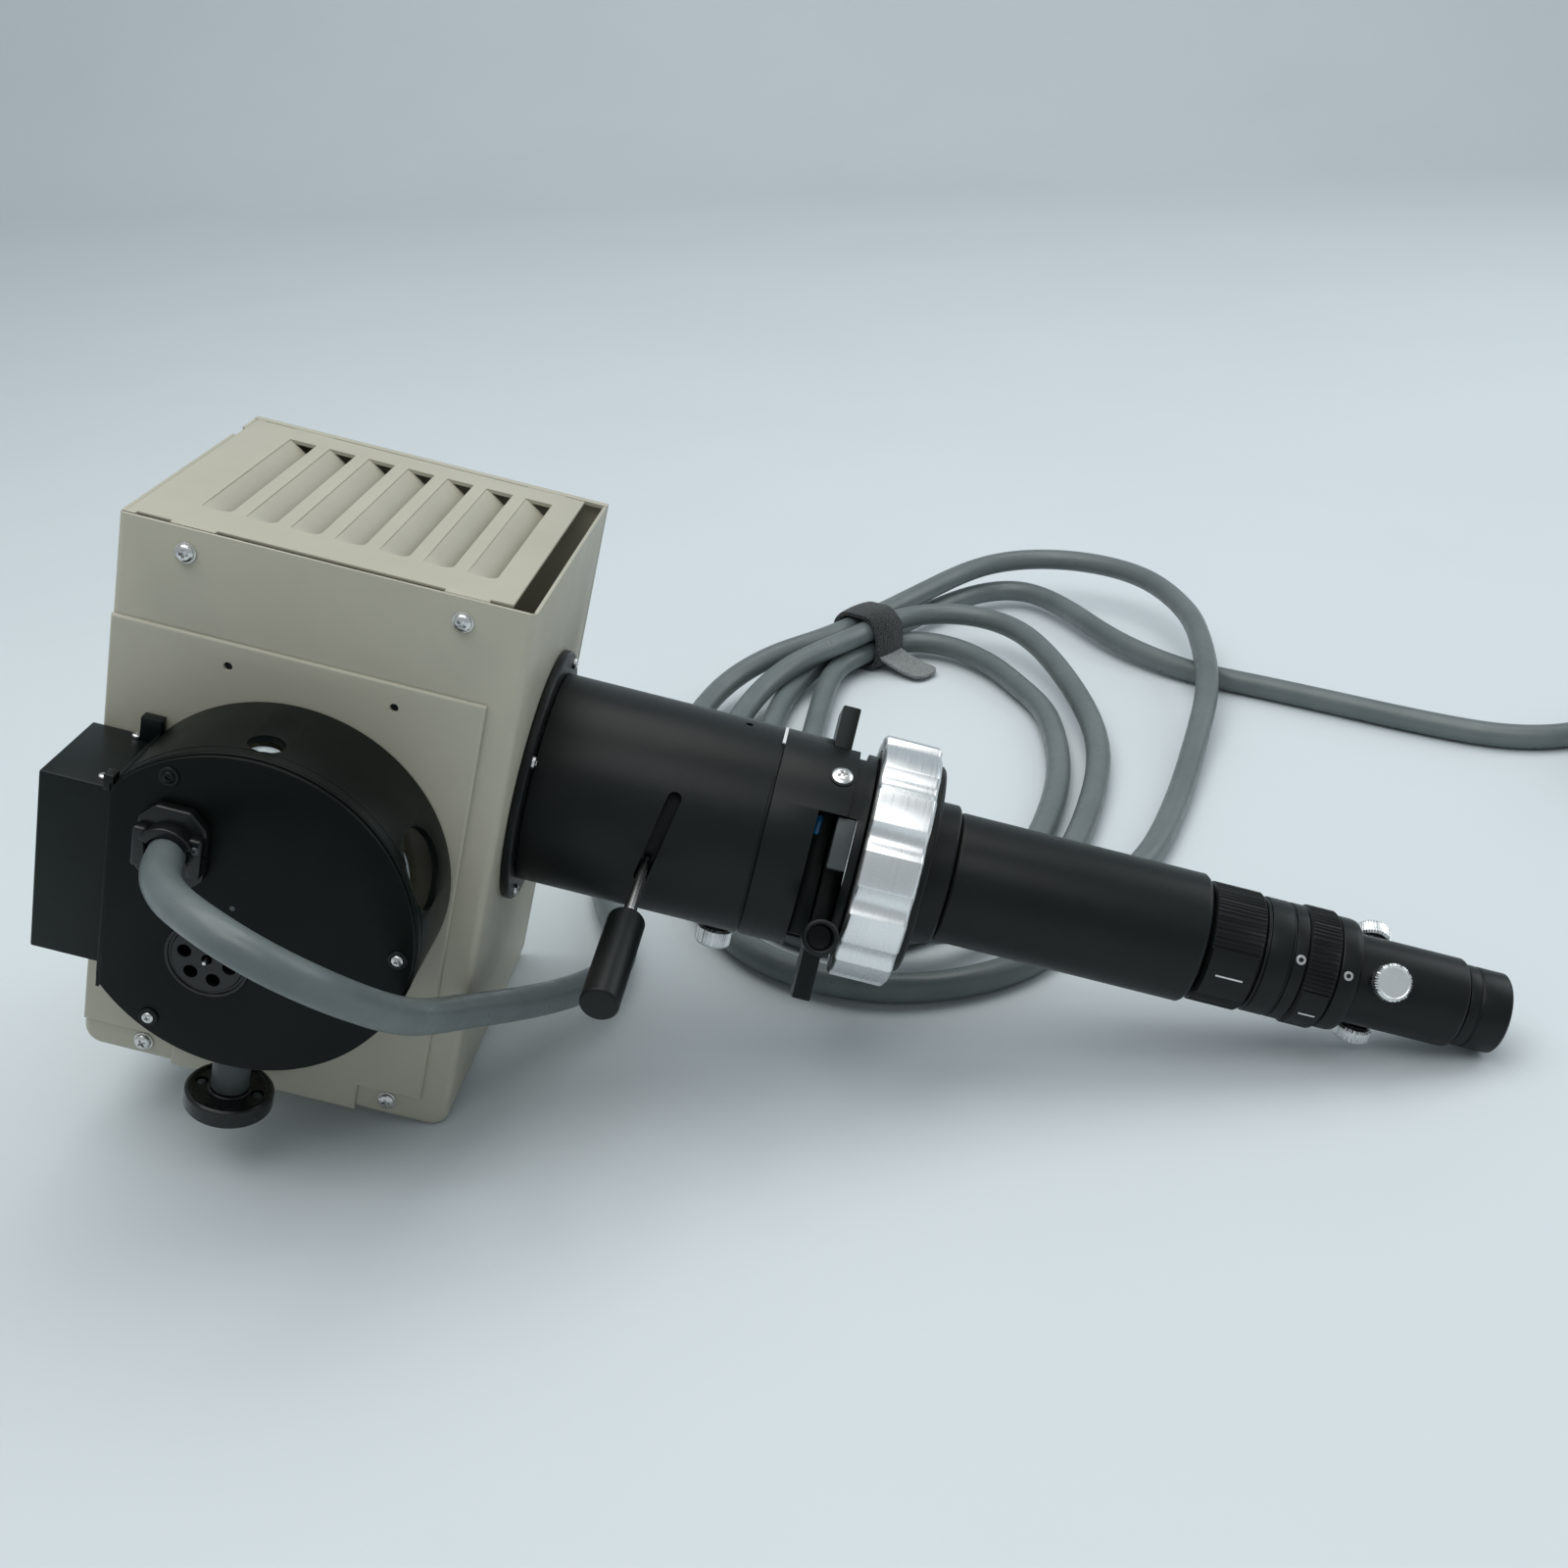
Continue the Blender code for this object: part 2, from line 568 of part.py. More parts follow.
def make_filter_section(house, roll):
    """The filter tube with its two cross sliders. The sliders' front is the tube's own front."""
    profile = [
        (0.1664, BORE_RADIUS),
        (0.1664, 0.0322),
        (0.1602, 0.0322),
        (0.1602, TUBE_RADIUS),
        (FILTER_X, TUBE_RADIUS),
        (FILTER_X, BORE_RADIUS),
    ]
    tube = turned("filter_tube", profile, "X", ANODISED, house, (0, 0, 0), LARGE)
    low_x, high_x = SLIDER_A_X - GAP, SLIDER_B_X + SLIDER_THICK + GAP
    channel_low = (low_x, -SLIDER_HALF - GAP, -0.06)
    channel_high = (high_x, SLIDER_HALF + GAP, 0.06)
    window_high = (high_x, -0.010, WINDOW_TOP)
    cut(
        tube,
        block("slider_channel", channel_low, channel_high, None, roll),
        block("filter_window", (low_x, -0.05, -0.06), window_high, None, roll),
    )
    upper = block(
        "upper_filter_slider",
        (SLIDER_A_X, -SLIDER_HALF, -0.0300),
        (SLIDER_A_X + SLIDER_THICK, SLIDER_HALF, 0.0445),
        BLACK,
        roll,
    )
    cut(upper, rod("upper_slider_aperture", 0.14, 0.17, 0.0118, "X", None, roll, steps=20))
    lower_low = (SLIDER_B_X, -SLIDER_HALF, -0.0495)
    lower_high = (SLIDER_B_X + SLIDER_THICK, SLIDER_HALF, 0.0270)
    lower = block("lower_filter_slider", lower_low, lower_high, BLACK, roll)
    pad_low = (SLIDER_B_X, -0.0305, -0.0078)
    pad_high = (SLIDER_B_X + SLIDER_THICK, -SLIDER_HALF + 0.001, WINDOW_TOP - GAP)
    join(lower, block("slider_pad", pad_low, pad_high, None, roll))
    cut(lower, rod("lower_slider_aperture", 0.14, 0.17, 0.0118, "X", None, roll, steps=20))
    ring("blue_filter_glass", 0.1532, 0.1552, 0.0115, 0.0002, "X", BLUE_GLASS, roll, steps=20)
    knob = [
        (0.0190, 0),
        (0.0190, 0.0036),
        (0.0290, 0.0036),
        (0.0290, 0.0050),
        (0.0282, 0.0056),
        (0.0170, 0.0056),
        (0.0165, 0.0026),
        (0, 0.0026),
        (0, 0),
    ]
    place = (SLIDER_B_X + SLIDER_THICK / 2, -SLIDER_HALF - GAP, -0.0290)
    turned("slider_knob", knob, "-Y", ANODISED, roll, place, SMALL, False)
    profile = screw_profile(0.0034, 0.0012, 0.0014, 0.002)
    angle = radians(68)
    screw_turn = (pi / 2 - angle, 0, 0)
    hole = rod("filter_screw_hole", 0.03, 0.04, 0.0018, "Z", None, house, (0.1558, 0, 0), 16, turn=screw_turn)
    cut(tube, hole)
    radial = Vector((0, -cos(angle), sin(angle))) * (TUBE_RADIUS + GAP)
    place = (0.1558, radial.y, radial.z)
    turned("filter_tube_screw", profile, "Z", STEEL, house, place, TINY, False, screw_turn)


RIDGES = 12


def scalloped(radius, depth, count):
    """A grip outline: narrow convex ridges with wide shallow hollows between them."""
    points = []
    for index in range(count):
        angle = 2 * pi * index / count
        wave = 0.5 + 0.5 * cos(RIDGES * angle)
        reach = radius - depth * (1 - wave**2)
        points.append((reach * cos(angle), reach * sin(angle)))
    return points


def make_clamp(house, roll):
    """The scalloped clamp ring and the black flange it draws up."""
    grip = prism("clamp_ring", scalloped(0.0398, 0.0017, 96), CLAMP_X, 0.0188, "X", SATIN, house)
    cut(grip, rod("clamp_bore", 0.16, 0.2, 0.0346, "X", None, house, steps=LARGE))
    profile = [
        (RELAY_X - 0.0003, 0.0175),
        (RELAY_X - 0.0003, 0.0228),
        (RELAY_X - 0.0013, 0.0232),
        (0.1888, 0.0232),
        (0.1888, 0.0342),
        (0.1670, 0.0342),
        (0.1670, 0.0290),
        (0.1860, 0.0290),
        (0.1860, 0.0175),
    ]
    turned("relay_flange", profile, "X", ANODISED, house, (0, 0, 0), LARGE)


# ---------------------------------------------------------------- illuminator tube


def make_relay(house):
    """The relay tube with the sleeve that carries the aperture ring, and its lens."""
    profile = [
        (MIDDLE_X - GAP, 0.0135),
        (MIDDLE_X - GAP, 0.0154),
        (0.2802, 0.0154),
        (0.2802, 0.0199),
        (0.2788, 0.0213),
        (RELAY_X, 0.0213),
        (RELAY_X, 0.0175),
        (0.2770, 0.0175),
        (0.2770, 0.0135),
    ]
    turned("relay_tube", profile, "X", ANODISED, house, (0, 0, 0), LARGE)
    crown = arc((0.2000, 0), 0.0350, 0, radians(29), 3)
    back = arc((0.2610, 0), 0.0350, radians(151), pi, 3)
    turned("relay_lens", crown + back, "X", GLASS, house, (0, 0, 0), SMALL, False)


def make_aperture_ring(house):
    """The aperture ring round the relay tube's sleeve, and the iris plate it turns inside."""
    ring("aperture_ring", APERTURE_X, MIDDLE_X - 0.0006, 0.0197, 0.0158, "X", ANODISED, house, steps=LARGE, edge=0.0007)
    ring("aperture_iris", 0.2870, 0.2876, 0.0131, 0.0050, "X", BLACK, house, steps=20)


def make_middle_collar(house):
    """The fixed collar between the two diaphragm rings, with a groove and the field ring's sleeve."""
    profile = [
        (END_COLLAR_X - GAP, 0.0125),
        (END_COLLAR_X - GAP, 0.0150),
        (FIELD_X - GAP, 0.0150),
        (FIELD_X - GAP, 0.0190),
        (0.3082, 0.0190),
        (0.3080, 0.0184),
        (0.3074, 0.0184),
        (0.3072, 0.0190),
        (MIDDLE_X, 0.0190),
        (MIDDLE_X, 0.0125),
    ]
    turned("middle_collar", profile, "X", ANODISED, house, (0, 0, 0), LARGE)


def make_field_ring(house):
    """The field ring and the iris plate it turns inside."""
    ring("field_ring", FIELD_X, END_COLLAR_X - GAP, 0.0196, 0.0154, "X", ANODISED, house, steps=LARGE, edge=0.0007)
    ring("field_iris", 0.3170, 0.3176, 0.0121, 0.0045, "X", BLACK, house, steps=20)


END_SCREW_ANGLES = (radians(32), radians(152), radians(272))


def make_end(house):
    """End collar, end body with its three centring screws, tip sleeve and front lens."""
    ring("end_collar", END_COLLAR_X, END_BODY_X - GAP, 0.0185, 0.0125, "X", ANODISED, house, steps=LARGE, edge=0.0008)
    ring("end_body", END_BODY_X, TIP_X - GAP, 0.0147, 0.0110, "X", ANODISED, house, steps=MEDIUM, edge=0.0008)
    for number, angle in enumerate(END_SCREW_ANGLES, 1):
        thumb_screw(f"centring_screw_{number}", house, (0.3400, 0, 0), angle, 0.0147, 0.0060, 0.0050)
    profile = [
        (TIP_END, 0.0090),
        (TIP_END, TIP_RADIUS - 0.0008),
        (TIP_END - 0.0008, TIP_RADIUS),
        (TIP_X, TIP_RADIUS),
        (TIP_X, 0.0090),
    ]
    turned("tip_sleeve", profile, "X", ANODISED, house, (0, 0, 0), MEDIUM)
    crown = arc((0.3500, 0), 0.0250, 0, radians(20), 3)
    back = [(0.3706, 0.0086), (0.3706, 0)]
    turned("tip_lens", crown + back, "X", GLASS, house, (0, 0, 0), SMALL, False)


# ---------------------------------------------------------------- cord, in table coordinates


CORD_RADIUS = CORD_DIAMETER / 2
FLOOR_LINE = 0.0057  # height of the cord's centre where it lies on the table
CORD_LEAD = (
    (-0.1660, -0.0808, 0.1209),
    (-0.1645, -0.0920, 0.1220),
    (-0.1530, -0.1090, 0.1255),
    (-0.1350, -0.1220, 0.1260),
    (-0.1220, -0.1270, 0.1200),
    (-0.1110, -0.1215, 0.1090),
    (-0.1050, -0.1035, 0.0920),
    (-0.1015, -0.0770, 0.0710),
    (-0.0965, -0.0430, 0.0520),
    (-0.0880, -0.0130, 0.0360),
    (-0.0770, 0.0190, 0.0220),
    (-0.0700, 0.0520, 0.0120),
    (-0.0760, 0.0830, 0.0070),
    (-0.0880, 0.1130, FLOOR_LINE),
    (-0.0920, 0.1340, FLOOR_LINE),
)
HANK_HEIGHT = 0.0290
HANK_OUTSIDE = (
    (0.017, 0.038),
    (-0.020, 0.053),
    (-0.050, 0.084),
    (-0.070, 0.122),
    (-0.086, 0.144),
    (-0.101, 0.160),
    (-0.099, 0.205),
    (-0.092, 0.260),
    (-0.080, 0.305),
    (-0.056, 0.340),
    (-0.026, 0.367),
    (-0.0088, 0.3826),
    (0.012, 0.415),
    (0.050, 0.466),
    (0.103, 0.476),
    (0.150, 0.450),
    (0.171, 0.394),
    (0.173, 0.318),
    (0.159, 0.240),
    (0.132, 0.143),
    (0.106, 0.095),
    (0.082, 0.058),
    (0.048, 0.040),
)
HANK_INSIDE = (
    (0.018, 0.096),
    (0.000, 0.115),
    (-0.010, 0.160),
    (-0.013, 0.230),
    (-0.010, 0.300),
    (-0.002, 0.345),
    (0.0088, 0.3694),
    (0.024, 0.378),
    (0.042, 0.370),
    (0.060, 0.340),
    (0.075, 0.290),
    (0.080, 0.233),
    (0.074, 0.180),
    (0.058, 0.133),
    (0.040, 0.104),
)
STRAP_AT = (0.0, 0.3760, 0.0)
STRAP_TURN = atan2(0.8, 0.6)  # the strands' direction through the strap
STRAP_WIDTH = 0.019
STRAP_THICKNESS = 0.0024
BUNDLE_HALF = 0.0138
CORD_TAIL = (
    (0.1830, 0.3305, FLOOR_LINE),
    (0.1960, 0.3220, FLOOR_LINE),
    (0.2230, 0.3040, FLOOR_LINE),
    (0.2540, 0.2830, FLOOR_LINE),
    (0.2880, 0.2650, FLOOR_LINE),
    (0.3160, 0.2660, FLOOR_LINE),
    (0.3330, 0.2760, FLOOR_LINE),
)
COIL_AT = (0.3966, 0.2462, 0.0)
COIL_RADIUS = 0.0580  # at the middle of the turns
COIL_TURNS = 2.335  # it comes in at the far left and leaves at the right, turning clockwise
COIL_PITCH = 0.0112
COIL_LEAVE = 0.0390  # how far past the coil the connector's boot begins


def through(points, position, closed=False):
    """A Catmull-Rom curve: the place at a position counted in points."""
    count = len(points)
    start = min(int(position), count - 2) if not closed else int(position)
    t = position - start
    ids = [start - 1, start, start + 1, start + 2]
    ids = [i % count for i in ids] if closed else [min(max(i, 0), count - 1) for i in ids]
    a, b, c, d = [Vector(points[i]) for i in ids]
    return 0.5 * (2 * b + (c - a) * t + (2 * a - 5 * b + 4 * c - d) * t * t + (3 * b - 3 * c + d - a) * t**3)


def smooth_run(points, spacing):
    """Points along the smooth curve through a route, about evenly spaced, with both ends."""
    fine = [through(points, i / 16) for i in range(16 * (len(points) - 1) + 1)]
    length = sum((b - a).length for a, b in zip(fine, fine[1:]))
    count = ceil(length / spacing)
    run, walked, target = [fine[0]], 0.0, length / count
    for a, b in zip(fine, fine[1:]):
        walked += (b - a).length
        if walked >= target - 1e-9 and len(run) < count:
            run.append(b)
            target += length / count
    return run + [fine[-1]]


def cord_tube(name, points):
    """A round cord along a route, as a curve with filled caps."""
    run = smooth_run(points, 2.3 * CORD_DIAMETER)
    curve = bpy.data.curves.new(name, "CURVE")
    curve.dimensions = "3D"
    curve.bevel_depth = CORD_RADIUS
    curve.bevel_resolution = 2
    curve.use_fill_caps = True
    spline = curve.splines.new("POLY")
    spline.points.add(len(run) - 1)
    for point, place in zip(spline.points, run):
        point.co = (*place, 1.0)
    return add(name, curve, CORD_GREY, None)


def outline_of(points, steps):
    return [tuple(through(points, i / steps, True)) for i in range(steps * len(points))]


def make_cord():
    """The mains cord as it lies: the lead, the strapped loops, the tail, the coil and its connector."""
    cord_tube("cord_lead", CORD_LEAD)
    flat = [Vector((x, y, 0)) for x, y in HANK_OUTSIDE]
    outside = [(p[0], p[1]) for p in outline_of(flat, 3)]
    flat = [Vector((x, y, 0)) for x, y in HANK_INSIDE]
    inside = [(p[0], p[1]) for p in outline_of(flat, 3)]
    hank = prism("cord_loops", outside, GAP, HANK_HEIGHT - GAP, "Z", CORD_GREY, None)
    hole = prism("loops_hole", inside, -0.01, HANK_HEIGHT + 0.02, "Z", None, None)
    turn = (0, 0, STRAP_TURN)
    half = STRAP_WIDTH / 2 + GAP
    low = (-half, -0.03, -0.01)
    seat = block("strap_seat", low, (half, 0.03, STRAP_THICKNESS + 3 * GAP), None, None, STRAP_AT, turn)
    cut(hank, hole, seat)
    make_strap(turn)
    cord_tube("cord_tail", CORD_TAIL)
    low, high = GAP, FLOOR_LINE + COIL_PITCH * COIL_TURNS + CORD_RADIUS
    inner, outer = COIL_RADIUS - CORD_RADIUS, COIL_RADIUS + CORD_RADIUS
    ring("cord_coil", low, high, outer, inner, "Z", CORD_GREY, None, COIL_AT, LARGE)
    make_connector(high)


def make_strap(turn):
    """The hook-and-loop strap round the strands, with its loose end lying inside the loops."""
    half = STRAP_WIDTH / 2
    wide = BUNDLE_HALF + GAP + STRAP_THICKNESS
    top = HANK_HEIGHT + GAP + STRAP_THICKNESS
    strap = block("cord_strap", (-half, -wide, GAP), (half, wide, top), HOOK_LOOP, None, STRAP_AT, turn)
    low = (-0.02, -BUNDLE_HALF - GAP, GAP + STRAP_THICKNESS)
    hollow = block("strap_hollow", low, (0.02, BUNDLE_HALF + GAP, HANK_HEIGHT + GAP), None, None, STRAP_AT, turn)
    low = (-half + 0.001, -wide - 0.026, GAP)
    end = block("strap_end", low, (half - 0.001, -wide + 0.001, GAP + 0.0022), None, None, STRAP_AT, turn)
    cut(strap, hollow)
    join(strap, end)


def make_connector(coil_top):
    """The round connector on the cord's end, hanging from the coil's last turn with its nose on the table."""
    height = coil_top - CORD_RADIUS
    reach = 0.0720
    profile = [
        (reach, 0),
        (reach, 0.0085),
        (reach - 0.0080, 0.0085),
        (reach - 0.0085, 0.0105),
        (0.0340, 0.0105),
        (0.0330, 0.0085),
        (0.0030, 0.0066),
        (0, 0.0060),
        (0, 0),
    ]
    pitch = asin((height - 0.0095) / reach)
    place = (COIL_AT[0] + COIL_RADIUS, COIL_AT[1] - COIL_LEAVE, height)
    turned("cord_connector", profile, "Z", PHENOLIC, None, place, SMALL, False, (pi / 2 + pitch, 0, 0))


# ---------------------------------------------------------------- assembly


def resting_tilt():
    """The angle at which the casing's folded edge and the tip both touch the table."""
    across = TIP_END - (BOX_WIDTH / 2 - BEND_RADIUS)
    up = -TIP_RADIUS - (BOX_BOTTOM + BEND_RADIUS)
    return atan2(up, across) + asin(BEND_RADIUS / hypot(across, up))


def lay_down(house):
    """Tilts the assembly onto the table and centres its footprint on the origin."""
    house.rotation_euler = (0, resting_tilt(), 0)
    bpy.context.view_layer.update()
    graph = bpy.context.evaluated_depsgraph_get()
    corners = []
    for obj in COLLECTION.objects:
        if obj.type != "MESH":
            continue
        solid = obj.evaluated_get(graph).to_mesh()
        corners += [obj.matrix_world @ vertex.co for vertex in solid.vertices]
    low = [min(corner[i] for corner in corners) for i in range(3)]
    high = [max(corner[i] for corner in corners) for i in range(3)]
    house.location = (-(low[0] + high[0]) / 2, -(low[1] + high[1]) / 2, -low[2])
    bpy.context.view_layer.update()


def finish_shading():
    for obj in COLLECTION.objects:
        if obj.type != "MESH":
            continue
        obj.data.shade_smooth()
        obj.data.set_sharp_from_angle(angle=radians(35))


def main():
    clear_scene()
    bpy.context.scene.collection.children.link(COLLECTION)
    bpy.context.scene.collection.children.link(CUTTERS)
    house = empty("tilt")
    roll = empty("tube_roll", house, (TUBE_ROLL, 0, 0))
    make_casing(house)
    make_louvre_top(house)
    make_front_plate(house)
    make_front_screws(house)
    face = make_drum(house)
    make_junction_box(house)
    make_terminal_insert(house, face)
    make_gland(house, face)
    make_knob(house)
    make_lamp(house)
    make_mirror(house)
    make_collector(house, roll)
    make_filter_section(house, roll)
    make_clamp(house, roll)
    make_relay(house)
    make_aperture_ring(house)
    make_middle_collar(house)
    make_field_ring(house)
    make_end(house)
    lay_down(house)
    make_cord()
    finish_shading()


main()
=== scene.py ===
"""The looks of a microscope lamp house with its illuminator tube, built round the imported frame.

Pieces are made in the lamp house's own optical frame and then laid down with it: +X runs along the
optical axis towards the tip, -Y is the front with the lamp drum, +Z is up, and the origin is where
the optical axis crosses the middle of the casing. Angles round the tube start at the front (-Y)
and grow upwards. All lengths are in metres.
"""

import json
from math import atan2, cos, pi, radians, sin

import bmesh
import bpy
from mathutils import Matrix, Vector


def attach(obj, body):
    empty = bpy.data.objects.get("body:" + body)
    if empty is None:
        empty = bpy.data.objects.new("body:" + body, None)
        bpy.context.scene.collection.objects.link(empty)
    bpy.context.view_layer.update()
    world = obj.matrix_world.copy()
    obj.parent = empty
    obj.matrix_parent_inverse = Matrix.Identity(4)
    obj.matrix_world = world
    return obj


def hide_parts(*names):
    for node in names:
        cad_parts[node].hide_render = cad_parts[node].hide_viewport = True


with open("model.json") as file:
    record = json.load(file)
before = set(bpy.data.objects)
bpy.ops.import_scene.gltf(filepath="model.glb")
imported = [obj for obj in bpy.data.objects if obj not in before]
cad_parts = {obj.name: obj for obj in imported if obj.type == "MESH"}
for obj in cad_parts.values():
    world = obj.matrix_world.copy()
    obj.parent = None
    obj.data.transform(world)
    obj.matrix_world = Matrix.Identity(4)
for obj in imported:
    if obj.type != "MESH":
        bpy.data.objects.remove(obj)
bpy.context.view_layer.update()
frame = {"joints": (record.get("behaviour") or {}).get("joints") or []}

# ---------------------------------------------------------------- the lamp house's own frame

RING_JOINT = next(j for j in frame["joints"] if j["name"] == "aperture_ring_turn")
RING_JOINT_X = 0.290  # where that joint's point lies on the optical axis
AXIS = Vector(RING_JOINT["axis"]).normalized()
UP = AXIS.cross(Vector((0, 1, 0)))
ORIGIN = Vector(RING_JOINT["pos_m"]) - AXIS * RING_JOINT_X
HOUSE = Matrix.Translation(ORIGIN) @ Matrix((AXIS, Vector((0, 1, 0)), UP)).transposed().to_4x4()
TUBE_ROLL = radians(-30)  # the filter section's own front is turned up from the casing's front
ROLL = HOUSE @ Matrix.Rotation(TUBE_ROLL, 4, "X")
WORLD = Matrix.Identity(4)
BODY = "housing"

SHEET = 0.0012
BOX_WIDTH, BOX_DEPTH, BOX_TOP, BOX_BOTTOM = 0.120, 0.110, 0.0765, -0.105
DRUM_X, DRUM_Z, DRUM_RADIUS, DRUM_DEPTH, DRUM_CHORD = -0.0015, -0.019, 0.051, 0.0362, -0.0385
DRUM_BACK = -0.0568
DRUM_FACE = -0.0948
GLAND_X, GLAND_Z = -0.0212, 0.0008
KNOB_X, KNOB_Y, KNOB_TOP = -0.005, -0.074, -0.0930
TUBE_RADIUS = 0.0342
LEVER_X, LEVER_ANGLE, LEVER_LEAD = 0.103, radians(-9), 0.006
CORD_DIAMETER = 0.0108
LAMP_PORT = 0.040  # radius of the hole that the lamp passes through
INSERT_X, INSERT_Z = -0.009, -0.034
SLOT_HALF = 0.0022

# ---------------------------------------------------------------- materials


def new_material(name, roughness, metallic=0.0, specular=0.5):
    """A material, its node tree, its shader and the object's own coordinates."""
    material = bpy.data.materials.new(name)
    material.use_nodes = True
    tree = material.node_tree
    shader = tree.nodes["Principled BSDF"]
    shader.inputs["Roughness"].default_value = roughness
    shader.inputs["Metallic"].default_value = metallic
    shader.inputs["Specular IOR Level"].default_value = specular
    return material, tree, shader, tree.nodes.new("ShaderNodeTexCoord").outputs["Object"]


def noise_of(tree, source, scale, detail=4.0):
    noise = tree.nodes.new("ShaderNodeTexNoise")
    noise.inputs["Scale"].default_value = scale
    noise.inputs["Detail"].default_value = detail
    noise.inputs["Roughness"].default_value = 0.6
    tree.links.new(source, noise.inputs["Vector"])
    return noise.outputs["Fac"]


def tint(tree, shader, value, dark, light, low=0.3, high=0.7):
    """Colours the shader from dark to light as the value goes from low to high."""
    ramp = tree.nodes.new("ShaderNodeValToRGB")
    ends = ramp.color_ramp.elements
    ends[0].position, ends[1].position = low, high
    ends[0].color, ends[1].color = (*dark, 1), (*light, 1)
    tree.links.new(value, ramp.inputs["Fac"])
    tree.links.new(ramp.outputs["Color"], shader.inputs["Base Color"])


def uneven_gloss(tree, shader, value, low, high):
    """Spreads the value's range from 0.3 to 0.7 over a roughness from low to high."""
    span = tree.nodes.new("ShaderNodeMapRange")
    span.inputs["From Min"].default_value = 0.3
    span.inputs["From Max"].default_value = 0.7
    span.inputs["To Min"].default_value = low
    span.inputs["To Max"].default_value = high
    tree.links.new(value, span.inputs["Value"])
    tree.links.new(span.outputs["Result"], shader.inputs["Roughness"])


def bump_of(tree, shader, height, strength, distance):
    bump = tree.nodes.new("ShaderNodeBump")
    bump.inputs["Strength"].default_value = strength
    bump.inputs["Distance"].default_value = distance
    tree.links.new(height, bump.inputs["Height"])
    tree.links.new(bump.outputs["Normal"], shader.inputs["Normal"])


def stretched(tree, place, frame_matrix, scales):
    """The coordinates seen in a tilted frame, scaled apart on its three axes."""
    mapping = tree.nodes.new("ShaderNodeMapping")
    mapping.vector_type = "POINT"
    mapping.inputs["Rotation"].default_value = frame_matrix.to_3x3().inverted().to_euler()
    tree.links.new(place, mapping.inputs["Vector"])
    scale = tree.nodes.new("ShaderNodeVectorMath")
    scale.operation = "MULTIPLY"
    scale.inputs[1].default_value = scales
    tree.links.new(mapping.outputs["Vector"], scale.inputs[0])
    return scale.outputs["Vector"]


def paint(name, dark, light, roughness, grain=900.0, bump=0.25, spread=0.08, specular=0.5):
    """Painted or coated metal: fine orange peel, slow colour drift and uneven gloss."""
    material, tree, shader, place = new_material(name, roughness, 0.0, specular)
    tint(tree, shader, noise_of(tree, place, 22.0, 5.0), dark, light)
    low, high = roughness - spread / 2, roughness + spread / 2
    uneven_gloss(tree, shader, noise_of(tree, place, 60.0, 3.0), low, high)
    bump_of(tree, shader, noise_of(tree, place, grain, 2.0), bump, 0.0001)
    return material


def machined(name, dark, light, roughness, metallic, marks=2600.0, bump=0.12, spread=0.08, specular=0.5):
    """Turned metal: fine lines round the optical axis and uneven gloss."""
    material, tree, shader, place = new_material(name, roughness, metallic, specular)
    lines = noise_of(tree, stretched(tree, place, HOUSE, (marks, marks * 0.01, marks * 0.01)), 1.0, 2.0)
    tint(tree, shader, noise_of(tree, place, 35.0, 5.0), dark, light)
    uneven_gloss(tree, shader, lines, roughness - spread / 2, roughness + spread / 2)
    bump_of(tree, shader, lines, bump, 0.00005)
    return material


def sheath(name):
    """Grey cable sheath: satin, with slow lengthwise unevenness and faint scuffs."""
    material, tree, shader, place = new_material(name, 0.36)
    drift = noise_of(tree, place, 30.0, 6.0)
    tint(tree, shader, drift, (0.100, 0.122, 0.124), (0.142, 0.165, 0.167), 0.3, 0.75)
    uneven_gloss(tree, shader, noise_of(tree, place, 140.0, 5.0), 0.27, 0.44)
    bump_of(tree, shader, noise_of(tree, place, 260.0, 6.0), 0.35, 0.0003)
    return material


def fuzzy(name, dark, light):
    """Hook-and-loop tape: a dense mat of tiny loops."""
    material, tree, shader, place = new_material(name, 0.95, 0.0, 0.15)
    shader.inputs["Sheen Weight"].default_value = 0.35
    cells = tree.nodes.new("ShaderNodeTexVoronoi")
    cells.inputs["Scale"].default_value = 1500.0
    tree.links.new(place, cells.inputs["Vector"])
    tint(tree, shader, cells.outputs["Distance"], light, dark, 0.1, 0.6)
    bump_of(tree, shader, cells.outputs["Distance"], 0.9, 0.0006)
    return material


def glass(name, colour, alpha):
    material, tree, shader, place = new_material(name, 0.06)
    shader.inputs["Alpha"].default_value = alpha
    shader.inputs["Coat Weight"].default_value = 0.6
    tint(tree, shader, noise_of(tree, place, 80.0, 2.0), tuple(c * 0.85 for c in colour), colour)
    return material


def table_top(name):
    material, tree, shader, place = new_material(name, 0.55, 0.0, 0.25)
    tint(tree, shader, noise_of(tree, place, 2.5, 4.0), (0.615, 0.665, 0.690), (0.640, 0.690, 0.712))
    bump_of(tree, shader, noise_of(tree, place, 320.0, 3.0), 0.05, 0.0005)
    return material


BEIGE = paint("casing_paint", (0.405, 0.388, 0.310), (0.440, 0.424, 0.342), 0.45, 1100.0, 0.30)
BEIGE_INNER = paint("casing_paint_inner", (0.46, 0.45, 0.41), (0.52, 0.51, 0.47), 0.55, 1100.0, 0.25)
BLACK = paint(
    "black_paint", (0.0030, 0.0055, 0.0050), (0.0055, 0.0095, 0.0088), 0.36, 1500.0, 0.15, 0.08, 0.22
)
DRUM_BLACK = paint(
    "drum_paint", (0.0012, 0.0028, 0.0022), (0.0030, 0.0060, 0.0048), 0.38, 1500.0, 0.12, 0.08, 0.14
)
ANODISED = machined(
    "black_anodised", (0.0020, 0.0038, 0.0036), (0.0042, 0.0068, 0.0064), 0.38, 0.0, 2600.0, 0.10, 0.06, 0.26
)
